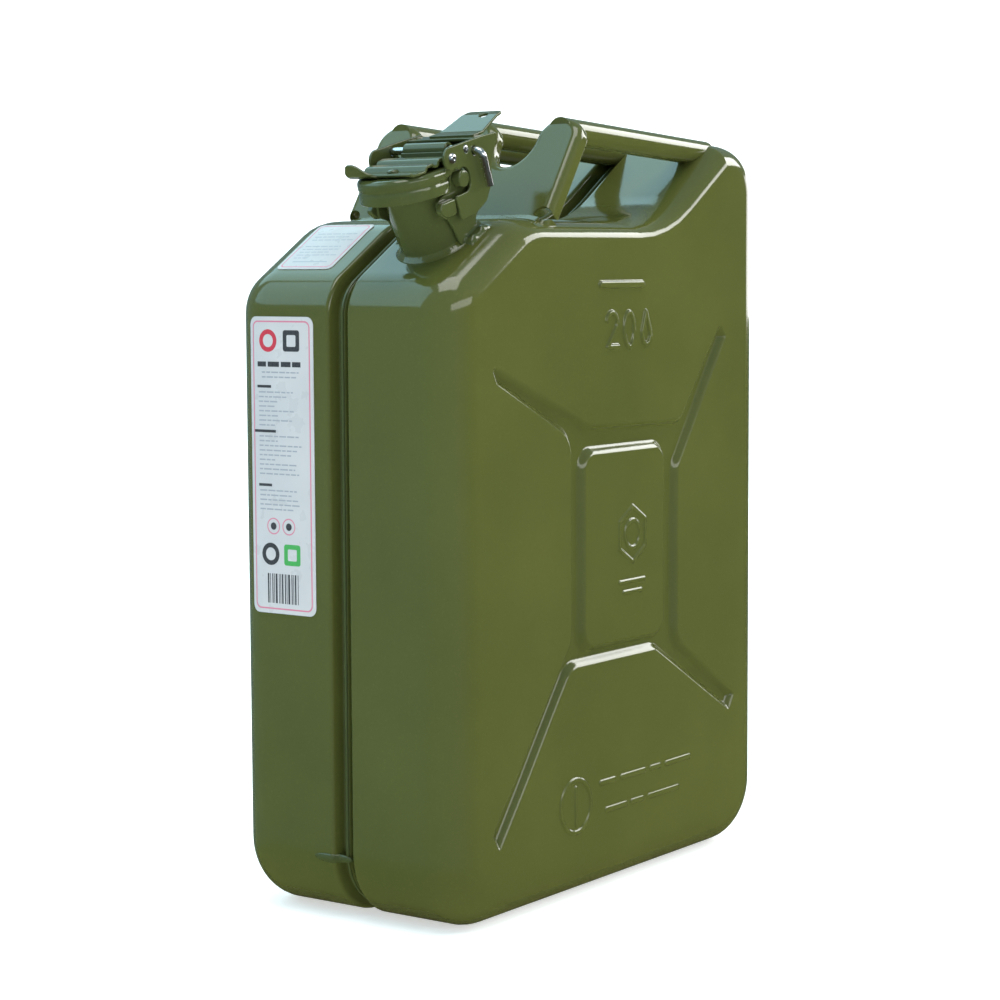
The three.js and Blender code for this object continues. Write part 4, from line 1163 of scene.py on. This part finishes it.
def printed(name, shapes, material, place=front_place, cuts=Y_CUTS, cross_cuts=()):
    """Ink as thin slabs on the film. Each shape is an outline followed by its holes."""
    low, high = FILM - 0.06, FILM + 0.03
    verts, faces = [], []
    for loops in shapes:
        start, total = len(verts), sum(len(loop) for loop in loops)
        flat = [p for loop in loops for p in loop]
        verts += [(p[0], p[1], low) for p in flat] + [(p[0], p[1], high) for p in flat]
        for tri in tessellate_polygon([[Vector((p[0], p[1], 0)) for p in loop] for loop in loops]):
            faces += [tuple(start + k for k in tri), tuple(start + total + k for k in reversed(tri))]
        base = start
        for loop in loops:
            n = len(loop)
            faces += bridge(base, base + total, n)
            base += n
    verts, faces = sliced(verts, faces, cuts, cross_cuts)
    make(name, [place(*v) for v in verts], faces, material, "can", [], "label", weighted=False)


def lines_of(y_left, z_top, lengths, pitch, seed):
    """Rows of short blocks, ragged like set lines; y falls from left to right."""
    rng = np.random.default_rng(seed)
    out = []
    for row, length in enumerate(lengths):
        y, left = y_left, length
        while left > 1.2:
            word = min(left, float(rng.uniform(WORD_LOW, WORD_HIGH)))
            out.append(block(y - word / 2, z_top - row * pitch, word, WORD_TALL))
            y -= word + WORD_GAP
            left -= word + WORD_GAP
    return out


for which, corners, place, cuts in (("front", corners_of(17.5, 66, 179, 353, 5), front_place, (Y_CUTS,)),
                                    ("shoulder", corners_of(19, 61, 21, 72, 4), shoulder_place,
                                     (Y_CUTS[:3], S_CUTS))):
    make("label_%s_film" % which,
         *plate(corners, [], FILM, 0.1, lambda a, b, n: place(a, b, n + 0.02), *cuts), film,
         "can", ["label_" + which], "label", weighted=False, angle=40)


def ring_shape(a, b, outer, inner):
    return [circle(a, b, outer, 36), circle(a, b, inner, 36)]


def square_shape(a, b, outer, inner):
    return [rounded(a - half, a + half, b - half, b + half, r) for half, r in ((outer, 1.6), (inner, 0.8))]


border = [[rounded(19.9, 63.6, 181.4, 350.6, 4), rounded(20.8, 62.7, 182.3, 349.7, 3.2)]]
border += [ring_shape(49, 230.5, 4.9, 4.2), ring_shape(37.4, 230.5, 4.9, 4.2)]
printed("print_front_pink", border, ink_pink)
printed("print_front_red", [ring_shape(51.6, 339, 6.6, 3.8)], ink_red)
printed("print_front_green", [square_shape(35, 214, 6.2, 3.4)], ink_green)
black = [square_shape(34, 339, 6.2, 3.4), ring_shape(51.4, 214, 6.6, 3.8)]
black += [[circle(y, 230.5, 2.2, 24)] for y in (49, 37.4)]
black += [block(y, 325.3, w, 3.0) for y, w in ((56.5, 6.5), (47.6, 8.6), (38.2, 7.4), (30.2, 6.4))]
black += [block(54.8, z, w, 1.6) for z, w in ((312.3, 10.6), (286.2, 17), (254.6, 10))]
at = 54.0
for k, w in enumerate((1.1, 0.5, 0.8, 0.5, 1.4, 0.5, 0.5, 1.1, 0.8, 0.5, 1.4, 0.8, 0.5, 1.1, 0.5)):
    black.append(block(at - w / 2, 193.8, w, 17.5))
    at -= w + (0.7, 1.1, 0.6)[k % 3]
printed("print_front_black", black, ink_black)
grey = lines_of(56.5, 320.6, (28, 26), 2.8, 3)
grey += lines_of(59, 309.0, (26, 21, 14, 12, 27, 15, 25, 12), 2.75, 5)
grey += lines_of(59, 283.2, (30, 14, 32, 29, 24, 12, 29, 27, 30), 2.75, 8)
grey += lines_of(59, 251.4, (28, 24, 29, 30, 27), 2.75, 13)
printed("print_front_grey", grey, ink_grey)
border = [[rounded(21, 59, 23, 70, 3.2), rounded(21.8, 58.2, 23.8, 69.2, 2.6)]]
printed("print_shoulder_pink", border, ink_pink, shoulder_place, Y_CUTS[:2], S_CUTS)
grey = lines_of(55, 60, (30, 26, 31), 3.4, 4) + lines_of(55, 46, (27, 29, 22, 30, 12), 3.2, 7)
grey += [block(40, 29, 26, 1.0)]
printed("print_shoulder_grey", grey, ink_grey, shoulder_place, ())

# ---- stage
CAMERA = Vector((-1.28709, -0.91780, 0.38287))
YAW, PITCH, ROLL, FOCAL = 0.62170, 0.09310, -0.00510, 2.53013


def paper(name, verts, faces, colour, glow):
    """White studio paper that the enamel doesn't mirror."""
    sheet = new_object(name, verts, faces)
    smooth_shaded(sheet.data)
    m, tree, shader = material(name, (0.9, 0.9, 0.9), 0.9)
    feed(shader, "Base Color",
         blend_colour(tree, noise(tree, 3, 2), (colour - 0.01,) * 3, (colour + 0.01,) * 3))
    shader.inputs["Emission Color"].default_value = (1, 1, 1, 1)
    shader.inputs["Emission Strength"].default_value = glow
    sheet.data.materials.append(m)
    sheet.visible_glossy = False
    return sheet


def stage():
    """Paper that runs under the can and curves up behind it, and a bowl that closes every other view."""
    near, bend, radius, height, half = -6.0, 1.6, 1.2, 5.0, 7.0
    ahead = Vector((cos(YAW), sin(YAW), 0))
    left = Vector((-sin(YAW), cos(YAW), 0))
    rows = [(near, 0.0), (bend, 0.0)]
    rows += [(bend + radius - radius * s, radius * c) for s, c in eased(12)[1:]] + [(bend + radius, height)]
    verts = [tuple(ahead * d + left * w + Vector((0, 0, z))) for d, z in rows for w in (-half, half)]
    faces = [(2 * i, 2 * i + 1, 2 * i + 3, 2 * i + 2) for i in range(len(rows) - 1)]
    paper("studio_sweep", verts, faces, 0.9, 0.55)
    # only the camera sees the bowl
    profile = [(4.5, 0.002), (5.6, 0.02), (6.2, 0.35), (6.5, 1.0), (6.5, 7.0)]
    bowl = loft([[(x, y, z) for x, y in circle(0, 0, r, 64)] for r, z in profile], False)
    backdrop = paper("studio_backdrop", *bowl, 0.9, 1.05)
    backdrop.visible_diffuse = backdrop.visible_shadow = backdrop.visible_transmission = False


def area_light(name, place, target, size, power, colour=(1, 1, 1)):
    data = bpy.data.lights.new(name, "AREA")
    data.shape, data.size, data.size_y = "RECTANGLE", *size
    data.energy, data.color = power, colour
    lamp = bpy.data.objects.new(name, data)
    bpy.context.scene.collection.objects.link(lamp)
    lamp.location = place
    lamp.rotation_euler = (Vector(target) - Vector(place)).to_track_quat("-Z", "Y").to_euler()
    lamp.visible_camera = False
    return lamp


def camera():
    forward = Vector((cos(PITCH) * cos(YAW), cos(PITCH) * sin(YAW), -sin(PITCH)))
    right = Vector((sin(YAW), -cos(YAW), 0))
    up = right.cross(forward)
    r = cos(ROLL) * right + sin(ROLL) * up
    u = -sin(ROLL) * right + cos(ROLL) * up
    data = bpy.data.cameras.new("camera")
    data.sensor_width = 36
    data.lens = 36 * FOCAL
    data.clip_start, data.clip_end = 0.05, 50
    eye = bpy.data.objects.new("camera", data)
    bpy.context.scene.collection.objects.link(eye)
    rotation = Matrix((r, u, -forward)).transposed().to_4x4()
    eye.matrix_world = Matrix.Translation(CAMERA) @ rotation
    bpy.context.scene.camera = eye


stage()
camera()
area_light("key_overhead", (-0.5, -0.4, 2.7), (0, 0, 0.3), (1.6, 1.6), 36, (1.0, 1.0, 0.98))
area_light("key_right", (2.45, -1.35, 1.62), (0, 0, 0.25), (2.2, 1.05), 58, (1.0, 1.0, 0.97))
area_light("strip_side", (-0.5, -2.95, 1.3), (0, 0, 0.25), (3.2, 0.75), 25, (1.0, 1.0, 0.97))
area_light("strip_rear", (2.3, 0.1, 0.5), (0, 0, 0.25), (1.5, 0.4), 7, (1.0, 1.0, 1.0))
area_light("sky_left", (-1.55, 1.8, 2.3), (0, 0, 0.35), (2.4, 2.1), 31, (0.46, 0.84, 1.0))
area_light("sky_back", (0.9, 2.1, 2.5), (0, 0, 0.4), (1.9, 1.5), 17, (0.5, 0.88, 1.0))


def surroundings():
    """Dim below the horizon and to the right of the can, pale blue behind it and above."""
    world = bpy.data.worlds.new("studio")
    bpy.context.scene.world = world
    world.use_nodes = True
    tree = world.node_tree
    coord = tree.nodes.new("ShaderNodeTexCoord")

    def toward(direction, low, high, from_low, from_high):
        dot = tree.nodes.new("ShaderNodeVectorMath")
        dot.operation = "DOT_PRODUCT"
        tree.links.new(coord.outputs["Generated"], dot.inputs[0])
        dot.inputs[1].default_value = direction
        return ranged(tree, dot.outputs["Value"], low, high, from_low, from_high)

    aside = toward((0.81, -0.58, 0), 0, 1, 0.2, 0.85)
    horizon = blend_colour(tree, aside, (0.36, 0.58, 0.68), (0.1, 0.115, 0.09))
    ground = blend_colour(tree, aside, (0.11, 0.1, 0.06), (0.1, 0.095, 0.055))
    rising = blend_colour(tree, toward((0, 0, 1), 0, 1, 0.08, 0.55), horizon, (0.5, 0.76, 0.86))
    colour = blend_colour(tree, toward((0, 0, 1), 0, 1, -0.1, -0.4), rising, ground)
    tree.links.new(colour, tree.nodes["Background"].inputs["Color"])
    tree.nodes["Background"].inputs["Strength"].default_value = 0.45


surroundings()
bpy.context.scene.view_settings.view_transform = "Standard"
